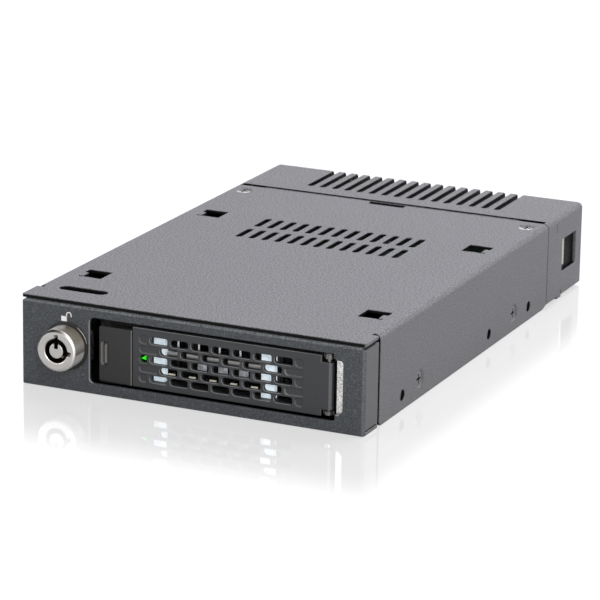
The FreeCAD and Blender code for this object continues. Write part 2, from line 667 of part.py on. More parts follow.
def hinge_pin():
    pin = rod_z(HINGE_X, HINGE_Y, PIN_R, LUG_LEVELS[0][0] - 0.1, LUG_LEVELS[1][1] + 0.3)
    head = rod_z(HINGE_X, HINGE_Y, 1.0, LUG_LEVELS[1][1], LUG_LEVELS[1][1] + 0.35)
    return joined([pin, head])


# ---------------------------------------------------------------- the door and the button

def door_slots():
    """Five rows of round-ended slots; the rows' end places are blind."""
    open_slots, blind = [], []
    for row, z in enumerate(SLOT_ROWS):
        odd = row % 2 == 0
        first = SLOT_FIRST if odd else SLOT_FIRST + SLOT_PITCH / 2
        for k in range(SLOT_COUNT[row]):
            open_slots.append((first + k * SLOT_PITCH, z))
        if not odd:
            blind.append((first - SLOT_PITCH, z))
            blind.append((first + SLOT_COUNT[row] * SLOT_PITCH, z))
    return open_slots, blind


DIMPLES = (-14.6, 31.3)
HOLE_R = 1.15
SLOT_ENDS = (0.95, 0.45)             # corner radii of a slot's left and right end
HOLE_ENDS = (1.1, 0.6)
BLIND_DEEP = 0.35


def slot(left, right, low, high, ends):
    """An outline with a rounder left end."""
    return [(left, low, ends[0]), (right, low, ends[1]), (right, high, ends[1]), (left, high, ends[0])]


def door_plate():
    back = DOOR_FRONT + DOOR_SHEET
    lug_left = 37.7
    low_cut, high_cut = DOOR_CUT
    plate = plate_y([(DOOR_LEFT, DOOR_LOW), (lug_left, DOOR_LOW), (lug_left, low_cut), (HINGE_X, low_cut),
                     (HINGE_X, high_cut), (lug_left, high_cut), (lug_left, DOOR_TOP), (DOOR_LEFT, DOOR_TOP)],
                    DOOR_FRONT, back)
    knuckle = rod_z(HINGE_X, HINGE_Y, KNUCKLE_R, low_cut, high_cut)
    hems = [box(DOOR_LEFT + 1.2, 35.5, back - 0.1, 3.9, DOOR_LOW, DOOR_LOW + 1.0),
            box(DOOR_LEFT + 1.2, 35.5, back - 0.1, 3.9, DOOR_TOP - 1.0, DOOR_TOP)]
    door = joined([plate, knuckle] + hems)
    tools = [rod_z(HINGE_X, HINGE_Y, PIN_R + RUNNING, 0, 30)]
    open_slots, blind = door_slots()
    half = SLOT_HIGH / 2
    for x, z in open_slots:
        tools.append(plate_y(slot(x, x + SLOT_LENGTH, z - half, z + half, SLOT_ENDS), 0, 10))
    for x, z in blind:
        tools.append(plate_y(slot(x, x + SLOT_LENGTH, z - half, z + half, SLOT_ENDS), 0, DOOR_FRONT + BLIND_DEEP))
    for row in (0, 2, 4):
        z = SLOT_ROWS[row]
        for x in DIMPLES:
            deep = 10 if (row == 2 and x < 0) else DOOR_FRONT + BLIND_DEEP
            tools.append(plate_y(slot(x - HOLE_R, x + HOLE_R, z - HOLE_R, z + HOLE_R, HOLE_ENDS), 0, deep))
    return cut_out(door, tools)


def door_catch():
    """The hardened tab behind the door's free edge, where the button's nose holds it."""
    return box(DOOR_LEFT + 0.1, DOOR_LEFT + 1.15, DOOR_FRONT + DOOR_SHEET, 4.0, 8.3, 14.3)


GRIP = (-27.1, -25.2, 8.3, 14.8)


def release_button():
    plate = plate_y([(BUTTON_LEFT, BUTTON_LOW, 0.6), (BUTTON_RIGHT, BUTTON_LOW, 0.2),
                     (BUTTON_RIGHT, BUTTON_TOP, 0.2), (BUTTON_LEFT, BUTTON_TOP, 0.6)],
                    DOOR_FRONT, DOOR_FRONT + 2.0)
    grip = plate_y(rectangle(*GRIP, 0.7), 0, DOOR_FRONT + 0.6)
    plate = plate.cut(grip)
    rib = plate_y(rectangle(GRIP[0] + 0.55, GRIP[1] - 0.75, GRIP[2] + 0.4, GRIP[3] - 0.8, 0.29),
                  DOOR_FRONT + 0.1, DOOR_FRONT + 0.8)
    back = DOOR_FRONT + 1.9
    pegs = [rod_y(PEG_X, z, PEG_R, back, 9.0) for z in PEG_LEVELS]
    nose = plate_z([(BUTTON_RIGHT - 1.0, back - 0.1), (BUTTON_RIGHT, back - 0.1), (BUTTON_RIGHT, 3.9),
                    (BUTTON_RIGHT - 1.0, 4.1)], 9.0, 13.6)
    return joined([plate, rib, nose] + pegs)


def button_spring():
    """A bowed leaf between the button's back and the floor of its pocket."""
    floor, crown, thick = POCKET_FLOOR, DOOR_FRONT + 2.0, 0.25
    foot, knee = 4.0, 2.6
    over = [(PEG_X - foot, floor), (PEG_X - foot, floor - thick), (PEG_X - knee, floor - thick),
            (PEG_X - 0.7, crown, 0.8), (PEG_X + 0.7, crown, 0.8), (PEG_X + knee, floor - thick),
            (PEG_X + foot, floor - thick), (PEG_X + foot, floor)]
    under = [(PEG_X + knee + 0.15, floor), (PEG_X + 0.6, crown + thick, 0.6),
             (PEG_X - 0.6, crown + thick, 0.6), (PEG_X - knee - 0.15, floor)]
    return plate_z(over + under, 9.5, 13.1)


# ---------------------------------------------------------------- the backplane

def backplane():
    board = plate_z([(-BOARD_HALF, BOARD_FRONT), (BOARD_HALF, BOARD_FRONT), (BOARD_HALF, BOARD_REAR, 1.0),
                     (-BOARD_HALF, BOARD_REAR, 1.0)], BOARD_LOW, BOARD_TOP)
    return board.cut([rod_z(x, y, 1.6, 0, 10) for x, y in STANDOFFS])


def board_standoffs():
    posts = []
    for x, y in STANDOFFS:
        body = hexagon(x, y, 5.0, lambda u, v: Vector(u, v, SHEET)).extrude(Vector(0, 0, BOARD_LOW - SHEET))
        stub = rod_z(x, y, 1.5, 0.1, SHEET + 0.5)
        posts.append(joined([body, stub]).cut(rod_z(x, y, 1.2, SHEET + 0.3, 10)))
    return Part.makeCompound(posts)


def board_screws():
    screw = pan_screw(BOARD_THICK + 2.6)
    return Part.makeCompound([placed(screw, Vector(x, y, BOARD_TOP), Vector(0, 0, 1)) for x, y in STANDOFFS])


DRIVE_PLUG_X = 10.8
DRIVE_PLUG_Z = 8.6


def drive_connector():
    """The receptacle for the drive: a housing with a tongue slot between two guide horns."""
    x, z = DRIVE_PLUG_X, DRIVE_PLUG_Z
    housing = plate_y(rectangle(x - 21.6, x + 21.6, BOARD_TOP, 12.4, 0.4), 112.4, 121.0)
    nose = plate_y(rectangle(x - 17.4, x + 17.4, z - 2.4, z + 2.4, 0.4), 107.4, 112.5)
    horns = both_sides(plate_z([(x + 18.2, 106.0, 0.8), (x + 20.8, 106.0, 0.8), (x + 20.8, 112.5),
                                (x + 18.2, 112.5)], z - 1.4, z + 1.4), x)
    slots = [box(x - 16.4, x + 9.6, 105, 116.0, z - 0.75, z + 0.75),
             box(x + 10.8, x + 16.4, 105, 116.0, z - 0.75, z + 0.75)]
    return cut_out(joined([housing, nose] + horns), slots)


def drive_contacts():
    blades = []
    for k in range(20):
        x = DRIVE_PLUG_X - 15.6 + 1.27 * k
        blades.append(box(x - 0.25, x + 0.25, 108.2, 115.9, DRIVE_PLUG_Z - 0.74, DRIVE_PLUG_Z - 0.5))
    return Part.makeCompound(blades)


def power_connector():
    """Fifteen-way plug with its keyed tongue, open to the rear."""
    x = POWER_X
    rear = LENGTH - 1.6
    shell = plate_y(rectangle(x - 12.0, x + 12.0, BOARD_TOP, 13.4, 0.3), 151.0, rear + 1.4)
    cavity = plate_y(rectangle(x - 11.0, x + 11.0, BOARD_TOP + 1.0, 12.4), 155.0, LENGTH + 1)
    tongue = box(x - 9.9, x + 8.7, 154.0, rear, 9.0, 10.2)
    key = box(x + 7.6, x + 8.7, 154.0, rear, 9.0, 11.5)
    return joined([shell.cut(cavity), tongue, key])


def power_contacts():
    blades = []
    for k in range(15):
        x = POWER_X - 8.9 + 1.27 * k
        blades.append(box(x - 0.3, x + 0.3, 155.0, LENGTH - 2.2, 8.85, 9.0))
    return Part.makeCompound(blades)


def data_connector():
    """The cable port's folded steel shell."""
    x = DATA_X
    outer = plate_y(rectangle(x - 10.2, x + 10.2, BOARD_TOP, 12.6, 0.7), 148.0, LENGTH - 0.2)
    inner = plate_y(rectangle(x - 9.7, x + 9.7, BOARD_TOP + 0.5, 12.1, 0.3), 150.0, LENGTH + 1)
    windows = [box(x + side * 5 - 1.2, x + side * 5 + 1.2, 153.0, 158.0, 11.5, 14.0) for side in (-1, 1)]
    return cut_out(outer, [inner] + windows)


def data_port_core():
    x = DATA_X
    block = box(x - 9.4, x + 9.4, 150.0, 153.0, BOARD_TOP + 0.5, 11.8)
    tongue = box(x - 8.2, x + 8.2, 152.9, LENGTH - 2.0, 8.7, 9.9)
    return joined([block, tongue])


def side_header():
    """The small cream header that the side window reaches."""
    body = box(43.4, 45.9, 143.6, 149.0, BOARD_TOP, 17.4)
    face = box(45.8, 49.5, 145.6, 151.8, 9.0, 18.2)
    pocket = box(46.6, 50.0, 146.4, 149.4, 10.0, 17.2)
    return cut_out(joined([body, face]), [pocket])


def board_parts():
    top = BOARD_TOP
    blocks = [plate_z(rectangle(-33, -19, 126, 140, 0.3), top, top + 1.4),
              plate_z(rectangle(2, 11, 128, 137, 0.3), top, top + 1.1),
              plate_z(rectangle(22, 28, 126, 132, 0.3), top, top + 3.2),
              plate_z(rectangle(31, 37, 126, 132, 0.3), top, top + 3.2)]
    cans = [rod_z(x, y, 2.6, top, top + 6.5) for x, y in ((-10, 131), (-3.6, 131), (-38, 141), (32, 141))]
    chips = [box(x, x + 2.4, y, y + 1.3, top, top + 0.8)
             for x, y in ((-15, 142), (-10, 142), (-5, 142), (0, 142), (5, 142), (13, 125), (17, 125), (14, 142),
                          (18.5, 142), (22.5, 136), (-16, 124), (-42, 133), (-42, 137))]
    return Part.makeCompound(blocks + cans + chips)


# ---------------------------------------------------------------- writing the pieces

PIECES = {
    "top_cover": top_cover,
    "rear_cover": rear_cover,
    "base_tray": base_tray,
    "front_bezel": front_bezel,
    "latch_strike": latch_strike,
    "strike_screw": strike_screw,
    "guide_rail_right": guide_rail,
    "guide_rail_left": lambda: mirrored(guide_rail(), TRAY_MIDDLE),
    "top_cover_screws": lambda: Part.makeCompound(top_screws()),
    "side_screws": lambda: Part.makeCompound(side_screws()),
    "rail_screws": lambda: Part.makeCompound(rail_screws()),
    "lock_barrel": lock_barrel,
    "lock_plug": lock_plug,
    "lock_pins": lock_pins,
    "lock_cam": lock_cam,
    "lock_nut": lock_nut,
    "lock_washer": lock_washer,
    "tray_pan": tray_pan,
    "tray_frame": tray_frame,
    "inner_grille": inner_grille,
    "light_guides": light_guides,
    "status_led": status_led,
    "hinge_bracket": hinge_bracket,
    "hinge_pin": hinge_pin,
    "lever_door": door_plate,
    "door_catch": door_catch,
    "release_button": release_button,
    "button_spring": button_spring,
    "backplane_board": backplane,
    "board_standoffs": board_standoffs,
    "board_screws": board_screws,
    "board_parts": board_parts,
    "drive_connector": drive_connector,
    "drive_contacts": drive_contacts,
    "power_connector": power_connector,
    "power_contacts": power_contacts,
    "data_connector": data_connector,
    "data_port_core": data_port_core,
    "side_header": side_header,
}

os.makedirs("parts", exist_ok=True)
for name, make in PIECES.items():
    save(name, make())
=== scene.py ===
import bmesh
import bpy
import math
from mathutils import Matrix, Vector
from mathutils.bvhtree import BVHTree


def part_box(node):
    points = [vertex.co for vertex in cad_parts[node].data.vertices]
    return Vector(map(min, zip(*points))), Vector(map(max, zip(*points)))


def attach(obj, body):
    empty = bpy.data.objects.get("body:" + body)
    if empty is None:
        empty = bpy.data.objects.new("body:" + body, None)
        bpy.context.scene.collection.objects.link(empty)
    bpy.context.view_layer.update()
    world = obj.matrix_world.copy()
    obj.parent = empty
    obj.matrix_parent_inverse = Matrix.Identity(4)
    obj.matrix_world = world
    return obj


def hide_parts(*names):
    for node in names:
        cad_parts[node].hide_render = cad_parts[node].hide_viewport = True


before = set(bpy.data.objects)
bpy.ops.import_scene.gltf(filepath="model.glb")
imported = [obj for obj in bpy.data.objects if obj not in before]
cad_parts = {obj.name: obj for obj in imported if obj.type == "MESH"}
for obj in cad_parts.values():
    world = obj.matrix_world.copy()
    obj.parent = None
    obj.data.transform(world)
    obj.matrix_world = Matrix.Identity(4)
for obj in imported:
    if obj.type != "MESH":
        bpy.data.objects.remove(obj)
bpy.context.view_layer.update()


# ------------------------------------------------------------------ camera
# The camera stands to the right of the cage's front and a little above it,
# far enough away that the sides stay nearly parallel. It is focused on the front.

def placed(name, data):
    """Puts a new object into the scene."""
    obj = bpy.data.objects.new(name, data)
    bpy.context.collection.objects.link(obj)
    return obj


aim = Vector((-0.002024, -0.004148, 0.010629))
azimuth, elevation, roll = math.radians(24.368), math.radians(16.366), math.radians(0.926)
away = 0.95742
back = Vector((math.sin(azimuth) * math.cos(elevation), -math.cos(azimuth) * math.cos(elevation),
               math.sin(elevation)))
level = Vector((math.cos(azimuth), math.sin(azimuth), 0))
upright = back.cross(level)
right = level * math.cos(roll) + upright * math.sin(roll)
up = upright * math.cos(roll) - level * math.sin(roll)
face_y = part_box("front_bezel")[0][1]
focus = placed("focus", None)
focus.location = (0, face_y, 0.012)
lens = bpy.data.cameras.new("camera")
lens.lens = 201.262
lens.sensor_width = 36
lens.clip_start = 0.05
lens.dof.use_dof = True
lens.dof.focus_object = focus
lens.dof.aperture_fstop = 120
camera = placed("camera", lens)
camera.matrix_world = Matrix.Translation(aim + back * away) @ Matrix((right, up, back)).transposed().to_4x4()
bpy.context.scene.camera = camera
bpy.context.scene.view_settings.view_transform = "Standard"


# ------------------------------------------------------------------ table, room and lamps
# A white laminate table with a faint shine, in a white room. One broad soft
# lamp hangs over the cage. Weaker ones stand to its left, in front of it, and
# at its right towards the rear.

def new_material(name):
    """A material and its tree, which is still empty."""
    material = bpy.data.materials.new(name)
    material.use_nodes = True
    material.node_tree.nodes.clear()
    return material, material.node_tree


def add(tree, kind, inputs=None, **settings):
    """A new node. Its inputs, by name or by number, hold a value or take another node's output."""
    made = tree.nodes.new(kind)
    for key, value in settings.items():
        setattr(made, key, value)
    for key, value in (inputs or {}).items():
        if isinstance(value, bpy.types.NodeSocket):
            tree.links.new(value, made.inputs[key])
        else:
            made.inputs[key].default_value = value
    return made


def larger(tree, one, other):
    """The larger of two values."""
    return add(tree, "ShaderNodeMath", {0: one, 1: other}, operation="MAXIMUM").outputs[0]


white = (1, 1, 1, 1)
table_top, tree = new_material("white_table")
laminate = add(tree, "ShaderNodeBsdfPrincipled", {"Base Color": (0.62, 0.62, 0.62, 1), "Roughness": 0.5})
near_top = add(tree, "ShaderNodeBsdfDiffuse", {"Color": (0.30, 0.30, 0.30, 1)})
lift = add(tree, "ShaderNodeEmission", {"Color": white, "Strength": 0.855})
matt = add(tree, "ShaderNodeAddShader", {0: near_top.outputs[0], 1: lift.outputs[0]})
mirror = add(tree, "ShaderNodeBsdfGlossy", {"Color": white, "Roughness": 0.012})
# The polish fades with the way from the cage, as seen from the camera.
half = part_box("top_cover")[1][0]
sideways, forwards = 0.413, 0.911    # sine and cosine of the camera's azimuth
apart = add(tree, "ShaderNodeSeparateXYZ", {0: add(tree, "ShaderNodeTexCoord").outputs["Object"]})
ways = []
for axis, edge, slope in (("X", half, 1 / sideways), ("Y", face_y, -1 / forwards)):
    past = add(tree, "ShaderNodeMath", {0: apart.outputs[axis], 1: edge}, operation="SUBTRACT")
    way = add(tree, "ShaderNodeMath", {0: past.outputs[0], 1: slope}, operation="MULTIPLY")
    ways.append(way.outputs[0])
polish = add(tree, "ShaderNodeMapRange", {"Value": larger(tree, *ways), "From Min": 0.026, "From Max": 0.068,
                                          "To Min": 0.33, "To Max": 0.0}, interpolation_type="SMOOTHSTEP")
polished = add(tree, "ShaderNodeMixShader", {"Fac": polish.outputs[0], 1: matt.outputs[0],
                                             2: mirror.outputs[0]})
seen = add(tree, "ShaderNodeLightPath").outputs
choose = add(tree, "ShaderNodeMixShader", {"Fac": seen["Is Camera Ray"], 1: laminate.outputs[0],
                                           2: polished.outputs[0]})
# From underneath the table is left out, so that the base can be looked at.
from_under = larger(tree, add(tree, "ShaderNodeNewGeometry").outputs["Backfacing"], seen["Transparent Depth"])
clear = add(tree, "ShaderNodeBsdfTransparent")
shown = add(tree, "ShaderNodeMixShader", {"Fac": from_under, 1: choose.outputs[0], 2: clear.outputs[0]})
add(tree, "ShaderNodeOutputMaterial", {"Surface": shown.outputs[0]})
table = bpy.data.meshes.new("table")
reach = 4.0
under = -0.00005    # a hair below the base, so that no two faces share a plane
corners = ((-reach, -reach), (reach, -reach), (reach, reach), (-reach, reach))
table.from_pydata([(x, y, under) for x, y in corners], [], [(0, 1, 2, 3)])
table.materials.append(table_top)
placed("table", table)

# The room is bright to the camera and in mirrors, and dim as a source of light.
room = bpy.data.worlds.new("room")
room.use_nodes = True
tree = room.node_tree
tree.nodes.clear()
bright = add(tree, "ShaderNodeBackground", {"Color": white, "Strength": 1.0})
dim = add(tree, "ShaderNodeBackground", {"Color": white, "Strength": 0.35})
seen = add(tree, "ShaderNodeLightPath").outputs
mirrored = larger(tree, seen["Is Glossy Ray"], seen["Is Transmission Ray"])
direct = larger(tree, seen["Is Camera Ray"], mirrored)
choose = add(tree, "ShaderNodeMixShader", {"Fac": direct, 1: dim.outputs[0], 2: bright.outputs[0]})
add(tree, "ShaderNodeOutputWorld", {"Surface": choose.outputs[0]})
bpy.context.scene.world = room


def lamp(name, place, target, wide, high, watts, colour=(1, 1, 1)):
    """A soft box that faces its target."""
    light = bpy.data.lights.new(name, "AREA")
    light.shape = "RECTANGLE"
    light.size = wide
    light.size_y = high
    light.energy = watts
    light.color = colour
    holder = placed(name, light)
    holder.location = place
    holder.rotation_euler = (Vector(target) - Vector(place)).to_track_quat("-Z", "Y").to_euler()


lamp("softbox_over", (0.1, 0.76, 1.13), (0, 0, 0), 1.6, 1.2, 12.6, (1.0, 1.0, 1.12))
lamp("softbox_left", (-1.3, -0.6, 0.5), (0, 0, 0), 0.8, 0.8, 4)
lamp("softbox_right", (0.55, 0.52, 0.34), (0, 0.06, 0), 0.35, 0.4, 1.6, (1.0, 0.985, 0.96))
lamp("softbox_front", (0.80, -1.1, 0.70), (0, 0, 0), 0.5, 0.8, 10.9, (1.0, 0.98, 0.95))


# ------------------------------------------------------------------ base tray
# The floor of the cage: 1 mm steel with two side flanges, punched, drawn and
# tapped for its screws, then powder coated grey like the covers. The front
# and the covers are screwed to it.

def spread(tree, noise, low, high, span=(0.3, 0.7)):
    """Draws a span of a noise's values out between two others."""
    return add(tree, "ShaderNodeMapRange", {"Value": noise.outputs["Fac"], "From Min": span[0],
                                            "From Max": span[1], "To Min": low, "To Max": high}).outputs[0]


def times(tree, colour, factor):
    """A colour or a size, times a value."""
    return add(tree, "ShaderNodeVectorMath", {0: colour, "Scale": factor}, operation="SCALE").outputs[0]


def close_material(tree, inputs):
    """Ends a material's tree with its shader."""
    shader = add(tree, "ShaderNodeBsdfPrincipled", inputs)
    add(tree, "ShaderNodeOutputMaterial", {"Surface": shader.outputs[0]})


def powder_coat(name, colour, grain, contrast, rough, skin, glints=0.0, shine=0.5, upright=1.0):
    """Sprayed and baked paint: fine grains of tone, a slightly uneven skin and, in some, pale flecks that are
    partly the coat's own grains and partly painted glints. Upright is the share of the contrast that is left
    on upright faces."""
    material, tree = new_material(name)
    place = add(tree, "ShaderNodeTexCoord").outputs["Object"]
    fine = add(tree, "ShaderNodeTexNoise", {"Vector": place, "Scale": 1 / grain, "Detail": 2.0})
    broad = add(tree, "ShaderNodeTexNoise", {"Vector": place, "Scale": 38.0, "Detail": 3.0})
    tone = spread(tree, fine, 1 - contrast, 1 + contrast)
    facing = add(tree, "ShaderNodeSeparateXYZ", {0: add(tree, "ShaderNodeNewGeometry").outputs["Normal"]})
    flat = add(tree, "ShaderNodeMath", {0: facing.outputs["Z"]}, operation="ABSOLUTE")
    depth = add(tree, "ShaderNodeMapRange", {"Value": flat.outputs[0], "To Min": upright, "To Max": 1.0})
    eased_tone = add(tree, "ShaderNodeMix", {0: depth.outputs[0], 2: 1.0, 3: tone}, data_type="FLOAT")
    both = add(tree, "ShaderNodeMath", {0: eased_tone.outputs[0], 1: spread(tree, broad, 0.975, 1.025)},
               operation="MULTIPLY")
    shown = times(tree, colour, both.outputs[0])
    # pale flecks in the colour: partly the coat's grains, partly painted glints
    if glints:
        cells = add(tree, "ShaderNodeTexVoronoi", {"Vector": place, "Scale": 1 / grain})
        bright = add(tree, "ShaderNodeMapRange", {"Value": cells.outputs["Color"], "From Min": 1 - glints,
                                                  "From Max": 1.0, "To Min": 0.0, "To Max": 0.55})
        flecked = add(tree, "ShaderNodeMix", {0: bright.outputs[0], 6: shown, 7: (0.16, 0.17, 0.19, 1)},
                      data_type="RGBA")
        shown = flecked.outputs[2]
    pebble = add(tree, "ShaderNodeBump", {"Height": fine.outputs["Fac"], "Strength": 1.0, "Distance": skin})
    close_material(tree, {"Base Color": shown, "Roughness": rough, "Specular IOR Level": shine,
                          "Normal": pebble.outputs[0]})
    return material


def plain_mesh(obj):
    """Works the modifiers into the mesh, so that nothing is left live."""
    made = bpy.data.meshes.new_from_object(obj.evaluated_get(bpy.context.evaluated_depsgraph_get()))
    obj.modifiers.clear()
    obj.data = made
    obj.data.name = obj.name
    return obj


def round_edges(obj, width, corner=32):
    """Rounds the edges that are sharper than the corner, in degrees. It is still a modifier."""
    rounder = obj.modifiers.new("edges", "BEVEL")
    rounder.width = width
    rounder.segments = 2
    rounder.limit_method = "ANGLE"
    rounder.angle_limit = math.radians(corner)
    return rounder


def eased(name, node, width, corner=32, close=()):
    """The solid with its cut edges rounded off, as a tumbler or a brush leaves them. Close says where a step
    that is narrower than the rounding is drawn together first: least corner, most corner, and the new y."""
    form = bmesh.new()
    form.from_mesh(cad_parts[node].data)
    for least, most, step_y in close:
        for point in form.verts:
            if all(a <= value <= b for a, value, b in zip(least, point.co, most)):
                point.co.y = step_y
    bmesh.ops.remove_doubles(form, verts=form.verts, dist=2e-6)
    bmesh.ops.dissolve_limit(form, angle_limit=math.radians(0.6), verts=form.verts, edges=form.edges)
    bmesh.ops.recalc_face_normals(form, faces=form.faces)
    solid = BVHTree.FromBMesh(form)
    mesh = bpy.data.meshes.new(name)
    form.to_mesh(mesh)
    form.free()
    mesh.polygons.foreach_set("use_smooth", [True] * len(mesh.polygons))
    obj = placed(name, mesh)
    round_edges(obj, width, corner).use_clamp_overlap = False
    plain_mesh(obj)
    # A point that the rounding has thrown off the solid goes back to it.
    low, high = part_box(node)
    for point in obj.data.vertices:
        nearest, _, _, off = solid.find_nearest(point.co)
        if off > 0.6 * width:
            point.co = nearest
        point.co = [min(max(value, least), most) for value, least, most in zip(point.co, low, high)]
    flatter = obj.modifiers.new("flat_faces", "WEIGHTED_NORMAL")
    flatter.mode = "FACE_AREA_WITH_ANGLE"
    flatter.weight = 100
    return plain_mesh(obj)


def fit(obj, material, body, slot, *nodes):
    """Paints a piece, hangs it on its body and lets it stand for its solids."""
    obj.data.materials.clear()
    obj.data.materials.append(material)
    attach(obj, body)
    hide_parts(*nodes)
    return obj


def further(obj, material):
    """Gives a piece one more material, and returns its number."""
    obj.data.materials.append(material)
    return len(obj.data.materials) - 1


def extent(obj):
    """The least and the most corner of a piece."""
    points = [point.co for point in obj.data.vertices]
    return [[pick(point[k] for point in points) for k in range(3)] for pick in (min, max)]


def paint_shade_inside(obj, inner, reach):
    """The sheet's outer skin keeps its paint; cut edges and the inside take the other, a near-black painted
    shade.
    Reach says for each axis how far in from its two ends the outer skin goes."""
    shade_index = further(obj, inner)
    low, high = extent(obj)
    for side in obj.data.polygons:
        at_low = any(side.normal[k] < -0.25 and side.center[k] < low[k] + reach[k][0] for k in range(3))
        at_high = any(side.normal[k] > 0.25 and side.center[k] > high[k] - reach[k][1] for k in range(3))
        side.material_index = 0 if at_low or at_high else shade_index


def paint_edge_highlight(obj, axis, sign, sheen, inset, toward):
    """On an outer face's rounded edges that look one way a paler paint is laid as a painted highlight. The
    face looks along the axis, the edges look toward a direction, and the inset keeps off the piece's own
    outline."""
    highlighted = further(obj, sheen)
    low, high = extent(obj)
    others = [k for k in range(3) if k != axis]
    for side in obj.data.polygons:
        lean = side.normal[axis] * sign
        deep = (high[axis] - side.center[axis]) if sign > 0 else (side.center[axis] - low[axis])
        inside = all(low[k] + inset < side.center[k] < high[k] - inset for k in others)
        if 0.25 < lean < 0.97 and deep < 0.0006 and inside and side.normal.dot(Vector(toward)) > 0.2:
            side.material_index = highlighted


cover_paint = powder_coat("grey_powder_coat", (0.116, 0.1165, 0.126), 0.00047, 0.92, 0.46, 0.000055,
                          upright=0.45)
# painted shade: a near-black coat on cut edges and inner faces stands in for the shade that falls there
shade_paint = powder_coat("painted_shade_coat", (0.005, 0.005, 0.0052), 0.00035, 0.10, 0.62, 0.000010, shine=0.10)
base_sheet = fit(eased("base_sheet", "base_tray", 0.00012), cover_paint, "cage", "cover_paint", "base_tray")
base_skin = 0.0012
# the base's cut edges and inside take the painted shade
paint_shade_inside(base_sheet, shade_paint, ((base_skin, base_skin), (0, 0), (base_skin, 0)))


# ------------------------------------------------------------------ tapped holes
# Each drawn hole in the base's floor and flanges is tapped M3. The cut turns
# of the thread are bare steel, because the paint was masked off them.

def plated(name, colour, rough, blotch=0.0, grain=0.0, stretch=(1, 1, 1), cells=900.0):
    """Bare or plated metal. Blotch mottles it as zinc crystals do, and cells says how finely. Grain is the
    depth of its fine brush lines, which stretch draws out along one way."""
    material, tree = new_material(name)
    place = add(tree, "ShaderNodeTexCoord").outputs["Object"]
    drawn = add(tree, "ShaderNodeMapping", {"Vector": place, "Scale": stretch})
    fine = add(tree, "ShaderNodeTexNoise", {"Vector": drawn.outputs[0], "Scale": 2200.0, "Detail": 3.0})
    cloud = add(tree, "ShaderNodeTexVoronoi", {"Vector": place, "Scale": cells, "Randomness": 1.0})
    tone = add(tree, "ShaderNodeMapRange", {"Value": cloud.outputs["Color"], "To Min": 1 - blotch,
                                            "To Max": 1 + blotch * 0.5})
    lines = add(tree, "ShaderNodeBump", {"Height": fine.outputs["Fac"], "Distance": grain})
    close_material(tree, {"Base Color": times(tree, colour, tone.outputs[0]), "Metallic": 1.0,
                          "Roughness": spread(tree, fine, max(rough - 0.08, 0.02), rough + 0.08),
                          "Normal": lines.outputs[0]})
    return material


def node_group(name, sizes):
    """An empty geometry tree with a material input and named sizes."""
    tree = bpy.data.node_groups.new(name, "GeometryNodeTree")
    tree.interface.new_socket("Geometry", in_out="INPUT", socket_type="NodeSocketGeometry")
    tree.interface.new_socket("Geometry", in_out="OUTPUT", socket_type="NodeSocketGeometry")
    tree.interface.new_socket("Surface", in_out="INPUT", socket_type="NodeSocketMaterial")
    for size, kind in sizes:
        tree.interface.new_socket(size, in_out="INPUT", socket_type="NodeSocket" + kind)
    return tree, tree.nodes.new("NodeGroupInput").outputs


def close_group(tree, given, thing):
    """Ends a tree: a copy of the thing stands on every seat, its Z along the seat's way. The copies become
    real mesh and take the surface."""
    way = add(tree, "GeometryNodeInputNamedAttribute", {"Name": "way"}, data_type="FLOAT_VECTOR")
    turn = add(tree, "FunctionNodeAlignRotationToVector", {"Vector": way.outputs[0]}, axis="Z")
    copies = add(tree, "GeometryNodeInstanceOnPoints", {"Points": given["Geometry"], "Instance": thing,
                                                        "Rotation": turn.outputs[0]})
    real = add(tree, "GeometryNodeRealizeInstances", {"Geometry": copies.outputs[0]})
    painted = add(tree, "GeometryNodeSetMaterial", {"Geometry": real.outputs[0],
                                                    "Material": given["Surface"]})
    add(tree, "NodeGroupOutput", {0: painted.outputs[0]})


def grown(name, seats, tree, material, sizes, ease=0.0):
    """Runs a tree on a piece's seats, each a place and the way it points, and keeps the plain mesh."""
    points = bpy.data.meshes.new(name)
    points.from_pydata([place for place, way in seats], [], [])
    ways = points.attributes.new("way", "FLOAT_VECTOR", "POINT")
    for k, (place, way) in enumerate(seats):
        ways.data[k].vector = way
    obj = placed(name, points)
    maker = obj.modifiers.new("maker", "NODES")
    maker.node_group = tree
    sizes = dict(sizes, Surface=material)
    for socket in tree.interface.items_tree:
        if socket.in_out == "INPUT" and socket.name in sizes:
            maker[socket.identifier] = sizes[socket.name]
    if ease:
        round_edges(obj, ease).harden_normals = True
    return plain_mesh(obj)


tree, given = node_group("tapped_thread", (("Radius", "Float"), ("Turns", "Float"), ("Length", "Float"),
                                           ("Crest", "Float")))
helix = add(tree, "GeometryNodeCurveSpiral", {"Resolution": 20, "Rotations": given["Turns"],
                                              "Start Radius": given["Radius"], "End Radius": given["Radius"],
                                              "Height": given["Length"]})
crest = add(tree, "GeometryNodeCurvePrimitiveCircle", {"Resolution": 4, "Radius": given["Crest"]})
turns = add(tree, "GeometryNodeCurveToMesh", {"Curve": helix.outputs[0], "Profile Curve": crest.outputs[0],
                                              "Fill Caps": True})
sharp = add(tree, "GeometryNodeSetShadeSmooth", {"Geometry": turns.outputs[0], "Shade Smooth": False})
close_group(tree, given, sharp.outputs[0])
cut_steel = plated("cut_steel", (0.42, 0.41, 0.39), 0.34, 0.05, 0.000002)
flank_x, flank_z, flank_holes = half - 0.0014, 0.00416, (0.0257, 0.0886, 0.1198)
floor_x, floor_z, floor_holes = 0.047625 - 0.0015, 0.0003, (0.0385, 0.08295)
tapped = [((side * flank_x, face_y + y, flank_z), (-side, 0, 0)) for y in flank_holes for side in (-1, 1)]
tapped += [((side * floor_x, face_y + y, floor_z), (0, 0, 1)) for y in floor_holes for side in (-1, 1)]
threads = grown("threads", tapped, tree, cut_steel, {"Radius": 0.00128, "Turns": 3.6, "Length": 0.0018,
                                                     "Crest": 0.00013})
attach(threads, "cage")


# ------------------------------------------------------------------ tray guides
# Two black nylon rails, screwed down from below. The drive tray's walls run
# between each rail's ledge and its lip.

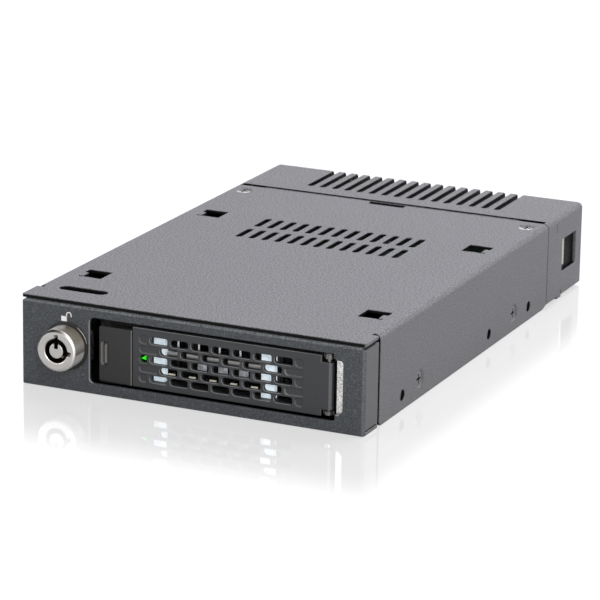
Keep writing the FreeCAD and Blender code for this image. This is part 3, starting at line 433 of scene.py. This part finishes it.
def moulded(name, colour, rough, texture, depth):
    """Moulded plastic with the fine spark-eroded texture of its mould."""
    material, tree = new_material(name)
    place = add(tree, "ShaderNodeTexCoord").outputs["Object"]
    grain = add(tree, "ShaderNodeTexNoise", {"Vector": place, "Scale": 1 / texture, "Detail": 3.0})
    flow = add(tree, "ShaderNodeTexNoise", {"Vector": place, "Scale": 90.0, "Detail": 2.0})
    pebble = add(tree, "ShaderNodeBump", {"Height": grain.outputs["Fac"], "Distance": depth})
    close_material(tree, {"Base Color": times(tree, colour, spread(tree, grain, 0.9, 1.1)),
                          "Roughness": spread(tree, flow, rough - 0.05, rough + 0.05),
                          "Normal": pebble.outputs[0]})
    return material


black_nylon = moulded("black_nylon", (0.020, 0.020, 0.021), 0.42, 0.00025, 0.00001)
for hand in ("right", "left"):
    fit(eased("rail_" + hand, "guide_rail_" + hand, 0.00015), black_nylon, "cage", "black_moulding",
        "guide_rail_" + hand)


# ------------------------------------------------------------------ backplane board
# A green circuit board on four brass pillars. It carries the drive's
# connector at its front, the power and data ports at its rear, and chips.

def finish(node, material):
    """Gives a solid that is shown as it is its own surface."""
    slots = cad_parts[node].data.materials
    slots.clear()
    slots.append(material)


solder_mask = moulded("green_solder_mask", (0.006, 0.050, 0.022), 0.34, 0.0006, 0.000008)
gold_flash = plated("gold_flash", (0.86, 0.62, 0.26), 0.24, 0.05, 0.000001)
brass = plated("turned_brass", (0.72, 0.55, 0.25), 0.30, 0.05, 0.000002)
zinc = plated("bright_zinc", (0.15, 0.145, 0.135), 0.24, 0.08, 0.000002)
nickel = plated("satin_nickel", (0.76, 0.74, 0.71), 0.27, 0.03, 0.000001, (1, 1, 6))
cream_nylon = moulded("cream_nylon", (0.50, 0.49, 0.41), 0.40, 0.0003, 0.00001)
port_black = moulded("port_black", (0.016, 0.016, 0.017), 0.35, 0.0002, 0.000006)
for node, material in (("backplane_board", solder_mask), ("board_standoffs", brass), ("board_screws", zinc),
                       ("board_parts", port_black), ("drive_connector", port_black),
                       ("drive_contacts", gold_flash), ("power_connector", port_black),
                       ("power_contacts", gold_flash), ("data_connector", nickel),
                       ("data_port_core", port_black), ("side_header", cream_nylon)):
    finish(node, material)


# ------------------------------------------------------------------ covers
# Two inverted channels of 1 mm steel, folded, pierced and powder coated. The
# front one lies over the drive and the rear one over the board.

# painted highlight: a paler coat on the hole rims that face the light
cover_highlight_paint = powder_coat("cover_painted_highlight", (0.26, 0.26, 0.27), 0.00040, 0.20, 0.40, 0.000010)
cover_skin, cover_inset, lit_from_behind = 0.0009, 0.004, (-0.4, 1, 0)
front_cover = fit(eased("front_cover", "top_cover", 0.00018), cover_paint, "cage", "cover_paint", "top_cover")
# the front cover's cut edges and inside take the painted shade
paint_shade_inside(front_cover, shade_paint, ((cover_skin, cover_skin), (0, 0), (0, cover_skin)))
for side in front_cover.data.polygons:
    if side.normal.z > 0.5 and side.center.z > 0.012:    # tongues and countersinks
        side.material_index = 0
paint_edge_highlight(front_cover, 2, 1, cover_highlight_paint, cover_inset, lit_from_behind)
back_cover = fit(eased("back_cover", "rear_cover", 0.00018), cover_paint, "cage", "cover_paint", "rear_cover")
# the rear cover's cut edges and inside take the painted shade
paint_shade_inside(back_cover, shade_paint, ((cover_skin, cover_skin), (0, cover_skin), (0, cover_skin)))
for side in back_cover.data.polygons:
    if side.normal.y < -0.8 and side.center.y > face_y + 0.158:    # the inside of the rear wall
        side.material_index = 0
paint_edge_highlight(back_cover, 2, 1, cover_highlight_paint, cover_inset, lit_from_behind)


# ------------------------------------------------------------------ front
# One piece of steel, folded back round its edges and pierced for the lock and the drive's door, in a dark
# slate coat with pale grains, partly painted glints. A plated angle stands behind its step for the door's
# catch.

slate_coat = powder_coat("slate_powder_coat", (0.043, 0.048, 0.055), 0.00030, 0.50, 0.44, 0.000030, 0.48)
step = face_y + 0.0009
narrow_step = ((-1, step + 0.00005, -1), (1, step + 0.00015, 0.00136), step)
front = fit(eased("front", "front_bezel", 0.00020, close=(narrow_step,)), slate_coat, "cage", "bezel_paint",
            "front_bezel")
# painted highlight: a paler coat on the front's left- and bottom-facing rims
slate_painted_highlight = powder_coat("slate_painted_highlight", (0.30, 0.31, 0.32), 0.00030, 0.25, 0.38, 0.000012)
paint_edge_highlight(front, 1, -1, slate_painted_highlight, 0.003, (1, 0, 1))
# painted highlight: paler coats on the top and right bends, and on the flanks, for the light they catch
bend_highlight_coat = powder_coat("slate_painted_bend_highlight", (0.105, 0.112, 0.121), 0.00036, 1.0, 0.40, 0.000040, 0.58)
edge_highlight_coat = powder_coat("slate_painted_edge_highlight", (0.088, 0.094, 0.102), 0.00034, 0.55, 0.40, 0.000040, 0.40)
flank_light_coat = powder_coat("slate_painted_flank_light", (0.082, 0.083, 0.085), 0.00034, 0.20, 0.44, 0.000030)
on_bend_highlight, on_edge_highlight, on_lit_flank = [further(front, coat) for coat in (bend_highlight_coat, edge_highlight_coat, flank_light_coat)]
bend, lean, flank = 0.0011, 0.12, 0.0003    # reach of a bend, least tilt of its faces, reach of a flank
front_right, front_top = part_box("front_bezel")[1][0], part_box("front_bezel")[1][2]
for side in front.data.polygons:
    at_top = side.normal.z > lean and side.center.z > front_top - bend
    at_right = side.normal.x > lean and side.center.x > front_right - bend
    if side.normal.y < -lean and side.center.y < face_y + bend and (at_top or at_right):
        side.material_index = on_bend_highlight if at_top else on_edge_highlight
    elif abs(side.normal.x) > 0.97 and abs(side.center.x) > front_right - flank:
        side.material_index = on_lit_flank
frosty_zinc = plated("frosty_zinc", (0.97, 0.96, 0.92), 0.36, 0.55, 0.000006, cells=2600.0)
fit(eased("strike", "latch_strike", 0.00010), frosty_zinc, "cage", "galvanised_steel", "latch_strike")


# ------------------------------------------------------------------ countersunk screws
# Zinc screws with a cross recess: two in the top, four under the rails and
# one under the catch's angle. The four in the sides are painted over.

def moved(tree, thing, height, share=1.0):
    """Lifts a thing along Z by a share of a height."""
    shift = times(tree, add(tree, "ShaderNodeCombineXYZ", {"Z": height}).outputs[0], share)
    return add(tree, "GeometryNodeTransform", {"Geometry": thing, "Translation": shift}).outputs[0]


screw, given = node_group("countersunk_screw", (("Head", "Float"), ("Seat", "Float"), ("Crown", "Float"),
                                                ("Shank", "Float"), ("Length", "Float"), ("Recess", "Float")))
seat_cone = add(screw, "GeometryNodeMeshCone", {"Vertices": 36, "Radius Top": given["Head"],
                                                "Radius Bottom": given["Shank"], "Depth": given["Seat"]})
inner_rim = add(screw, "ShaderNodeMath", {0: given["Head"], 1: 0.0005}, operation="SUBTRACT")
crown = add(screw, "GeometryNodeMeshCone", {"Vertices": 36, "Radius Top": inner_rim.outputs[0],
                                            "Radius Bottom": given["Head"], "Depth": given["Crown"]})
shank = add(screw, "GeometryNodeMeshCylinder", {"Vertices": 36, "Radius": given["Shank"],
                                                "Depth": given["Length"]})
solid = add(screw, "GeometryNodeMeshBoolean", operation="UNION")
for part in (moved(screw, seat_cone.outputs[0], given["Seat"], -1.0), crown.outputs[0],
             moved(screw, shank.outputs[0], given["Length"], -0.5)):
    screw.links.new(part, solid.inputs["Mesh 2"])
driven = add(screw, "GeometryNodeMeshBoolean", {"Mesh 1": solid.outputs[0]}, operation="DIFFERENCE")
for bar in ((1.0, 0.21, 0.9), (0.21, 1.0, 0.9)):    # the two arms of the cross, in shares of the recess
    arm = add(screw, "GeometryNodeMeshCube", {"Size": times(screw, bar, given["Recess"])})
    screw.links.new(arm.outputs[0], driven.inputs["Mesh 2"])
smooth = add(screw, "GeometryNodeSetShadeSmooth", {"Geometry": driven.outputs[0]})
close_group(screw, given, smooth.outputs[0])


def half_lit(name, colour, axis, dark, bright, metal, rough):
    """The surface of a small rounded piece, with the light and shade that fall on it from one side painted
    into its tone. Dark and bright each say how far from the middle, along the axis, and which tone the piece
    has there."""
    material, tree = new_material(name)
    apart = add(tree, "ShaderNodeSeparateXYZ", {0: add(tree, "ShaderNodeTexCoord").outputs["Object"]})
    off = add(tree, "ShaderNodeMath", {0: apart.outputs[axis]}, operation="ABSOLUTE")
    tone = add(tree, "ShaderNodeMapRange", {"Value": off.outputs[0], "From Min": dark[0],
                                            "From Max": bright[0], "To Min": dark[1], "To Max": bright[1]})
    close_material(tree, {"Base Color": times(tree, colour, tone.outputs[0]), "Metallic": metal,
                          "Roughness": rough})
    return material


def screws(name, node, seats, material, slot, length, head=0.00255, ease=0.00006):
    """A group of like screws. A seat is the middle of a head's rim."""
    sizes = {"Head": head, "Seat": 0.0008, "Crown": 0.0002, "Shank": 0.00115, "Length": length,
             "Recess": 0.0028}
    fit(grown(name, seats, screw, material, sizes, ease), material, "cage", slot, node)


# painted shade and highlight: the zinc heads go dark at their rear edge and bright towards the front
half_lit_head = half_lit("zinc_head_painted_light", (0.98, 0.97, 0.93), "Y",
                     (face_y + 0.1309, 0.02), (face_y + 0.1272, 0.62), 1.0, 0.25)
# painted shade: the painted-over heads darken with depth, as shade in their recess
painted_over_and_shaded = half_lit("painted_over_and_shaded", (1.0, 1.0, 1.03), "X",
                        (half - 0.00064, 0.004), (half - 0.00046, 0.128), 0.0, 0.33)
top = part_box("top_cover")[1][2]
seats = [((side * 0.0458, face_y + 0.1289, top - 0.0005), (0, 0, 1)) for side in (-1, 1)]
screws("cover_screws", "top_cover_screws", seats, half_lit_head, "zinc_screw", 0.0039)
seats = [((side * (half - 0.0006), face_y + y, 0.00536), (side, 0, 0))
         for side in (-1, 1) for y in (0.0376, 0.1078)]
screws("flank_screws", "side_screws", seats, painted_over_and_shaded, "painted_screw", 0.0034, 0.0024, 0.00004)
below = 0.0002
seats = [((x, face_y + y, below), (0, 0, -1)) for x in (0.0454, -0.0334) for y in (0.032, 0.100)]
screws("guide_screws", "rail_screws", seats, zinc, "zinc_screw", 0.0054)
seats = [((0.045, face_y + 0.010, below), (0, 0, -1))]
screws("catch_screw", "strike_screw", seats, zinc, "zinc_screw", 0.0034)


# ------------------------------------------------------------------ key lock
# A ring-key lock: a nickel barrel through the front with a black washer, a
# turning post with seven pins round it, and a cam behind.

lock_x, lock_z = -0.03705, 0.0126


def turned_nickel(name, rough, tones, metal=1.0):
    """Nickel plate on a turned part: fine rings round its axis, and the room's light and dark along its turn.
    Each tone comes with its angle in degrees."""
    material, tree = new_material(name)
    place = add(tree, "ShaderNodeTexCoord").outputs["Object"]
    centred = add(tree, "ShaderNodeMapping", {"Vector": place, "Location": (-lock_x, 0, -lock_z)})
    parts = add(tree, "ShaderNodeSeparateXYZ", {0: centred.outputs[0]})
    flat = add(tree, "ShaderNodeCombineXYZ", {"X": parts.outputs["X"], "Z": parts.outputs["Z"]})
    radius = add(tree, "ShaderNodeVectorMath", {0: flat.outputs[0]}, operation="LENGTH")
    ring_place = add(tree, "ShaderNodeCombineXYZ", {"X": radius.outputs["Value"], "Y": parts.outputs["Y"]})
    rings = add(tree, "ShaderNodeTexNoise", {"Vector": ring_place.outputs[0], "Scale": 9000.0, "Detail": 2.0})
    cloud = add(tree, "ShaderNodeTexNoise", {"Vector": place, "Scale": 500.0, "Detail": 3.0})
    cut = add(tree, "ShaderNodeBump", {"Height": rings.outputs["Fac"], "Distance": 0.0000015})
    turn = add(tree, "ShaderNodeMath", {0: parts.outputs["Z"], 1: parts.outputs["X"]}, operation="ARCTAN2")
    share = add(tree, "ShaderNodeMapRange", {"Value": turn.outputs[0], "From Min": -math.pi,
                                             "From Max": math.pi})
    ramp = add(tree, "ShaderNodeValToRGB", {0: share.outputs[0]})
    stops = ramp.color_ramp.elements
    stops[0].position, stops[-1].position = 0.0, 1.0
    stops[0].color, stops[-1].color = tones[0][1] + (1,), tones[-1][1] + (1,)
    for degrees, tone in tones[1:-1]:
        stops.new((degrees + 180) / 360).color = tone + (1,)
    close_material(tree, {"Base Color": ramp.outputs[0], "Metallic": metal,
                          "Roughness": spread(tree, cloud, rough - 0.05, rough + 0.05),
                          "Normal": cut.outputs[0]})
    return material


lock_face = turned_nickel("lock_face_nickel", 0.34, [(-180, (0.64, 0.62, 0.59)), (180, (0.64, 0.62, 0.59))])
lock_side = turned_nickel("lock_side_nickel", 0.36, [
    (-180, (0.50, 0.49, 0.46)), (-90, (0.60, 0.59, 0.56)), (-55, (0.72, 0.71, 0.68)),
    (-25, (0.95, 0.94, 0.91)), (-9, (0.88, 0.87, 0.84)), (-4, (0.22, 0.20, 0.18)), (2, (0.45, 0.43, 0.38)),
    (15, (0.62, 0.60, 0.55)), (32, (0.42, 0.38, 0.31)), (62, (0.34, 0.31, 0.25)), (80, (0.26, 0.24, 0.20)),
    (90, (0.62, 0.61, 0.58)), (104, (0.92, 0.91, 0.89)), (140, (0.66, 0.65, 0.62)),
    (180, (0.50, 0.49, 0.46))], 0.45)
lock_edge = turned_nickel("lock_edge_nickel", 0.26, [
    (-180, (0.55, 0.54, 0.51)), (-110, (0.60, 0.58, 0.55)), (-50, (0.90, 0.89, 0.87)),
    (10, (1.0, 0.99, 0.97)), (52, (0.85, 0.84, 0.81)), (78, (0.16, 0.15, 0.14)), (100, (0.03, 0.03, 0.03)),
    (155, (0.04, 0.04, 0.04)), (180, (0.45, 0.44, 0.41))])
darkened_steel = plated("dark_groove_steel", (0.045, 0.042, 0.038), 0.42, 0.1, 0.000002)
barrel = fit(eased("lock_body", "lock_barrel", 0.00012, 40), lock_side, "cage", "nickel", "lock_barrel")
plug = fit(eased("lock_post", "lock_plug", 0.00008, 40), lock_side, "lock_turning", "nickel", "lock_plug")
groove_radius, groove_y, rim_radius, rim_y = 0.0036, -0.0045, 0.0048, -0.004    # y from the front's face
for turned in (barrel, plug):
    on_side = 0    # the material that it was fitted with
    on_face, in_groove, on_rim = [further(turned, metal) for metal in (lock_face, darkened_steel, lock_edge)]
    for side in turned.data.polygons:
        deep = side.center.y - face_y
        out = math.hypot(side.center.x - lock_x, side.center.z - lock_z)
        # the groove and what lies behind the front's face take a darker steel
        if deep > 0.0002 or (out < groove_radius and (side.normal.y > -0.5 or deep > groove_y)):
            side.material_index = in_groove
        elif out > rim_radius and -0.97 < side.normal.y < -0.3 and deep < rim_y:
            side.material_index = on_rim
        else:
            side.material_index = on_face if side.normal.y < -0.6 else on_side
galvanised = plated("galvanised_steel", (0.36, 0.362, 0.36), 0.55, 0.45, 0.000004)
finish("lock_cam", galvanised)
finish("lock_nut", nickel)
rubber = moulded("black_rubber", (0.010, 0.010, 0.010), 0.6, 0.0003, 0.00001)
washer = fit(eased("washer", "lock_washer", 0.00008, 25), rubber, "cage", "rubber", "lock_washer")
lit_arc = further(washer, plated("washer_painted_highlight", (0.20, 0.195, 0.19), 0.35, 0.05, 0.000002))
# painted highlight: a paler metal on the upper right of the washer's chamfer, for the light it catches
for side in washer.data.polygons:
    turn = math.degrees(math.atan2(side.center.z - lock_z, side.center.x - lock_x))
    if 12 < turn < 58 and -0.97 < side.normal.y < -0.25:
        side.material_index = lit_arc

# Seven sprung pins stand in a ring round the post.
tree, given = node_group("pin_ring", (("Count", "Int"), ("Ring", "Float"), ("Thick", "Float"),
                                      ("Long", "Float")))
places = add(tree, "GeometryNodeMeshCircle", {"Vertices": given["Count"], "Radius": given["Ring"]})
stem = add(tree, "GeometryNodeMeshCylinder", {"Vertices": 16, "Radius": given["Thick"],
                                              "Depth": given["Long"]})
tip = add(tree, "GeometryNodeMeshUVSphere", {"Segments": 16, "Rings": 8, "Radius": given["Thick"]})
both = tree.nodes.new("GeometryNodeJoinGeometry")
for part in (moved(tree, stem.outputs[0], given["Long"], 0.5), moved(tree, tip.outputs[0], given["Long"])):
    tree.links.new(part, both.inputs[0])
smooth = add(tree, "GeometryNodeSetShadeSmooth", {"Geometry": both.outputs[0]})
ring = add(tree, "GeometryNodeInstanceOnPoints", {"Points": places.outputs[0], "Instance": smooth.outputs[0]})
quarter_step = (0, 0, math.pi / 14)    # turns the ring until one pin stands straight below the post
turned_ring = add(tree, "GeometryNodeTransform", {"Geometry": ring.outputs[0], "Rotation": quarter_step})
close_group(tree, given, turned_ring.outputs[0])
pin_brass = plated("pin_brass", (0.62, 0.50, 0.34), 0.35, 0.1, 0.000002)
pins = grown("tumbler_pins", [((lock_x, face_y - 0.0004, lock_z), (0, -1, 0))], tree, pin_brass,
             {"Count": 7, "Ring": 0.002725, "Thick": 0.00042, "Long": 0.0018})
fit(pins, pin_brass, "lock_turning", "dark_steel", "lock_pins")

# The mark above the lock: a small open padlock, screen-printed in white.
ink, tree = new_material("white_ink")
grain = add(tree, "ShaderNodeTexNoise", {"Vector": add(tree, "ShaderNodeTexCoord").outputs["Object"],
                                         "Scale": 3000.0})
close_material(tree, {"Base Color": spread(tree, grain, 0.84, 0.94, (0.0, 1.0)), "Roughness": 0.5})
print_y, sunk_y = face_y - 0.00004, face_y - 0.00001
case_left, case_right, case_low, case_top = -0.03855, -0.03685, 0.0194, 0.0208
bow_x, bow_z, bow_wide, bow_high, line = -0.03622, 0.02125, 0.00084, 0.00090, 0.00028
mark = bmesh.new()


def bow_points(inset):
    """The padlock's half-round bow from its left to its right, so far in from its outer edge."""
    turns = [math.radians(180 - 15 * k) for k in range(13)]
    return [(bow_x + (bow_wide - inset) * math.cos(turn), bow_z + (bow_high - inset) * math.sin(turn))
            for turn in turns]


def printed(corners):
    """A flat film of ink with those corners."""
    low = [mark.verts.new((x, print_y, z)) for x, z in corners]
    high = [mark.verts.new((x, sunk_y, z)) for x, z in corners]
    mark.faces.new(low)
    mark.faces.new(list(reversed(high)))
    for k in range(len(corners)):
        m = (k + 1) % len(corners)
        mark.faces.new((low[m], low[k], high[k], high[m]))


printed([(case_left, case_low), (case_right, case_low), (case_right, case_top), (case_left, case_top)])
outer, inner = bow_points(0.0), bow_points(line)
for k in range(12):
    printed([outer[k], outer[k + 1], inner[k + 1], inner[k]])
printed([(outer[0][0], case_top - 0.0003), (inner[0][0], case_top - 0.0003), inner[0], outer[0]])
printed([(inner[12][0], case_top), (outer[12][0], case_top), outer[12], inner[12]])
bmesh.ops.remove_doubles(mark, verts=mark.verts, dist=1e-7)
bmesh.ops.recalc_face_normals(mark, faces=mark.faces)
film = bpy.data.meshes.new("padlock_mark")
mark.to_mesh(film)
mark.free()
film.materials.append(ink)
film = placed("padlock_mark", film)
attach(film, "cage")


# ------------------------------------------------------------------ drive tray
# A thin galvanised pan with a black moulded head. The head holds a pierced
# plated screen, two clear light guides, a green lamp and the door's hinge.

finish("tray_pan", galvanised)
fit(eased("tray_head", "tray_frame", 0.00012), black_nylon, "tray", "black_moulding", "tray_frame")

# The screen: a dark plate, with what stands out on it in four rows.
black_plate = plated("black_plated_screen", (0.030, 0.030, 0.031), 0.22, 0.1, 0.000002)
fit(eased("screen", "inner_grille", 0.00012), black_plate, "tray", "galvanised_steel", "inner_grille")
tree, given = node_group("row_of_tabs", (("Count", "Int"), ("Pitch", "Vector"), ("Size", "Vector")))
spots = add(tree, "GeometryNodeMeshLine", {"Count": given["Count"], "Offset": given["Pitch"]}, mode="OFFSET")
tab = add(tree, "GeometryNodeMeshCube", {"Size": given["Size"]})
row = add(tree, "GeometryNodeInstanceOnPoints", {"Points": spots.outputs[0], "Instance": tab.outputs[0]})
close_group(tree, given, row.outputs[0])
# painted highlight: near-white pins stand where the edges of the screen's windows catch light
highlight_pin = plated("highlight_pin", (0.90, 0.90, 0.90), 0.25, 0.02, 0.000001)
# painted highlight and shade along the rollers' height
roller = half_lit("dull_roller", (0.98, 0.97, 0.94), "Z", (0.0121, 0.03), (0.0131, 0.72), 0.7, 0.35)
gauze = plated("pale_gauze", (0.66, 0.70, 0.73), 0.38, 0.45, 0.000004)
ivory = moulded("ivory_tab", (0.88, 0.82, 0.72), 0.35, 0.0003, 0.000006)
# painted light: the ivory tabs glow a little, though they hold no lamp
ivory_painted_glow = ivory.node_tree.nodes["Principled BSDF"].inputs
ivory_painted_glow["Emission Color"].default_value = (0.95, 0.86, 0.72, 1)
ivory_painted_glow["Emission Strength"].default_value = 0.22
screen_y = face_y + 0.0070
slot_step = (0.00613, 0, 0)
# Each row has a name, a count, its first one's x and z, and a size, material and rounding.
for name, count, x, z, size, material, ease in (
        ("screen_highlight_pins", 4, -0.00652, 0.01529, (0.0006, 0.0005, 0.0024), highlight_pin, 0.00008),
        ("screen_rollers", 5, -0.00800, 0.01250, (0.0044, 0.0010, 0.0018), roller, 0.00045),
        ("screen_gauze", 3, 0.00056, 0.00986, (0.0028, 0.0003, 0.0019), gauze, 0.00010),
        ("screen_tabs", 5, -0.00850, 0.00660, (0.00185, 0.0006, 0.00052), ivory, 0.00006)):
    row = grown(name, [((x, screen_y - size[1] / 2, z), (0, 0, 1))], tree, material,
                {"Count": count, "Pitch": slot_step, "Size": size}, ease)
    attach(row, "tray")


def lit_plastic(name, colour, light, rough, scale, low, high, span=(0.3, 0.7)):
    """Clear plastic with a lamp behind it, which glows a little unevenly."""
    material, tree = new_material(name)
    place = add(tree, "ShaderNodeTexCoord").outputs["Object"]
    flow = add(tree, "ShaderNodeTexNoise", {"Vector": place, "Scale": scale, "Detail": 2.0})
    close_material(tree, {"Base Color": colour + (1,), "Roughness": rough, "Emission Color": light + (1,),
                          "Emission Strength": spread(tree, flow, low, high, span)})
    return material


# The two light guides: clear moulding, lit from the lamps behind them.
frosted = lit_plastic("frosted_guide", (0.78, 0.87, 0.93), (0.80, 0.91, 1.0), 0.25, 700.0, 0.40, 0.62)
fit(eased("guides", "light_guides", 0.00010), frosted, "tray", "white_moulding", "light_guides")

# The lamp: a green wedge of light in a dark round lens. The lens is turned up
# from its middle to its rim and back along its side.
lamp_green = lit_plastic("green_lamp", (0.02, 0.60, 0.02), (0.03, 0.85, 0.01), 0.2, 2500.0, 0.6, 1.0,
                         span=(0.0, 1.0))
lamp_dark = moulded("lens_dark", (0.010, 0.012, 0.010), 0.2, 0.0004, 0.000003)
lamp_x, lamp_z, turns = -0.0156, 0.0112, 24
wedge_corners = ((-0.01601, 0.01117), (-0.01464, 0.01203), (-0.01464, 0.01082))
bulb = bmesh.new()
near = [bulb.verts.new((x, face_y + 0.0033, z)) for x, z in wedge_corners]
far = [bulb.verts.new((x, face_y + 0.0036, z)) for x, z in wedge_corners]
bulb.faces.new(near)
bulb.faces.new(list(reversed(far)))
for k in range(3):
    bulb.faces.new((near[(k + 1) % 3], near[k], far[k], far[(k + 1) % 3]))
wedge_faces = len(bulb.faces)
rings = [[bulb.verts.new((lamp_x, face_y + 0.0039, lamp_z))] * turns]
for out, deep in ((0.0007, 0.0038), (0.00095, 0.0041), (0.00095, 0.0060)):
    rings.append([bulb.verts.new((lamp_x + out * math.cos(2 * math.pi * k / turns), face_y + deep,
                                  lamp_z + out * math.sin(2 * math.pi * k / turns))) for k in range(turns)])
for inner_ring, outer_ring in zip(rings, rings[1:]):
    for k in range(turns):
        m = (k + 1) % turns
        corners = [inner_ring[k], inner_ring[m], outer_ring[m], outer_ring[k]]
        bulb.faces.new(list(dict.fromkeys(corners)))
bulb.faces.new(rings[-1])
bmesh.ops.recalc_face_normals(bulb, faces=bulb.faces)
green_lens = bpy.data.meshes.new("green_lens")
bulb.to_mesh(green_lens)
bulb.free()
green_lens = placed("green_lens", green_lens)
fit(green_lens, lamp_green, "tray", "black_moulding", "status_led")
dark = further(green_lens, lamp_dark)
for k, side in enumerate(green_lens.data.polygons):
    side.material_index = 0 if k < wedge_faces else dark
    side.use_smooth = k >= wedge_faces

# What is left of the tray: the hinge in worn zinc and the button's spring.
worn_zinc = plated("worn_zinc", (0.24, 0.232, 0.22), 0.34, 0.2, 0.000003)
dark_steel = plated("dark_steel", (0.16, 0.15, 0.14), 0.35, 0.1, 0.000002)
finish("hinge_bracket", worn_zinc)
finish("hinge_pin", worn_zinc)
finish("button_spring", dark_steel)


# ------------------------------------------------------------------ release button
# A matt black moulding beside the door, with a finger groove and a rib in it.
# It slides in the tray's head against a bowed leaf spring.

button_black = moulded("button_black", (0.023, 0.0225, 0.0225), 0.46, 0.00035, 0.000012)
button = fit(eased("button", "release_button", 0.00022), button_black, "button", "button_moulding",
             "release_button")
# painted highlight: a paler moulding on the right-facing rims
button_painted_highlight = moulded("button_painted_highlight", (0.19, 0.185, 0.18), 0.36, 0.00035, 0.000006)
paint_edge_highlight(button, 1, -1, button_painted_highlight, 0.0, (1, 0, 0.1))


# ------------------------------------------------------------------ lever door
# A pierced steel door, painted charcoal, with its hinge knuckle rolled from the
# same sheet. A small hardened tab behind its free edge takes the button's nose.

charcoal = powder_coat("charcoal_paint", (0.039, 0.041, 0.044), 0.0003, 0.14, 0.40, 0.000010)
door = fit(eased("door", "lever_door", 0.00014), charcoal, "door", "door_paint", "lever_door")
# painted highlight: a paler coat on the slot rims that face the light
charcoal_painted_highlight = powder_coat("charcoal_painted_highlight", (0.20, 0.205, 0.21), 0.00030, 0.15, 0.35, 0.000006)
paint_edge_highlight(door, 1, -1, charcoal_painted_highlight, 0.0, (1, 0, 1))
# The painted highlights on the rims of the blind slots, which lie at both ends of the pattern, are fainter.
faint_painted_highlight = powder_coat("charcoal_faint_painted_highlight", (0.112, 0.115, 0.120), 0.00030, 0.15, 0.38, 0.000006)
faint_highlight = further(door, faint_painted_highlight)
blind_left, blind_right, door_z, pattern = -0.0128, 0.0288, 0.0118, 0.0078
for side in door.data.polygons:
    blind = side.center.x < blind_left or side.center.x > blind_right
    if side.material_index == 1 and blind and abs(side.center.z - door_z) < pattern:
        side.material_index = faint_highlight
finish("door_catch", galvanised)
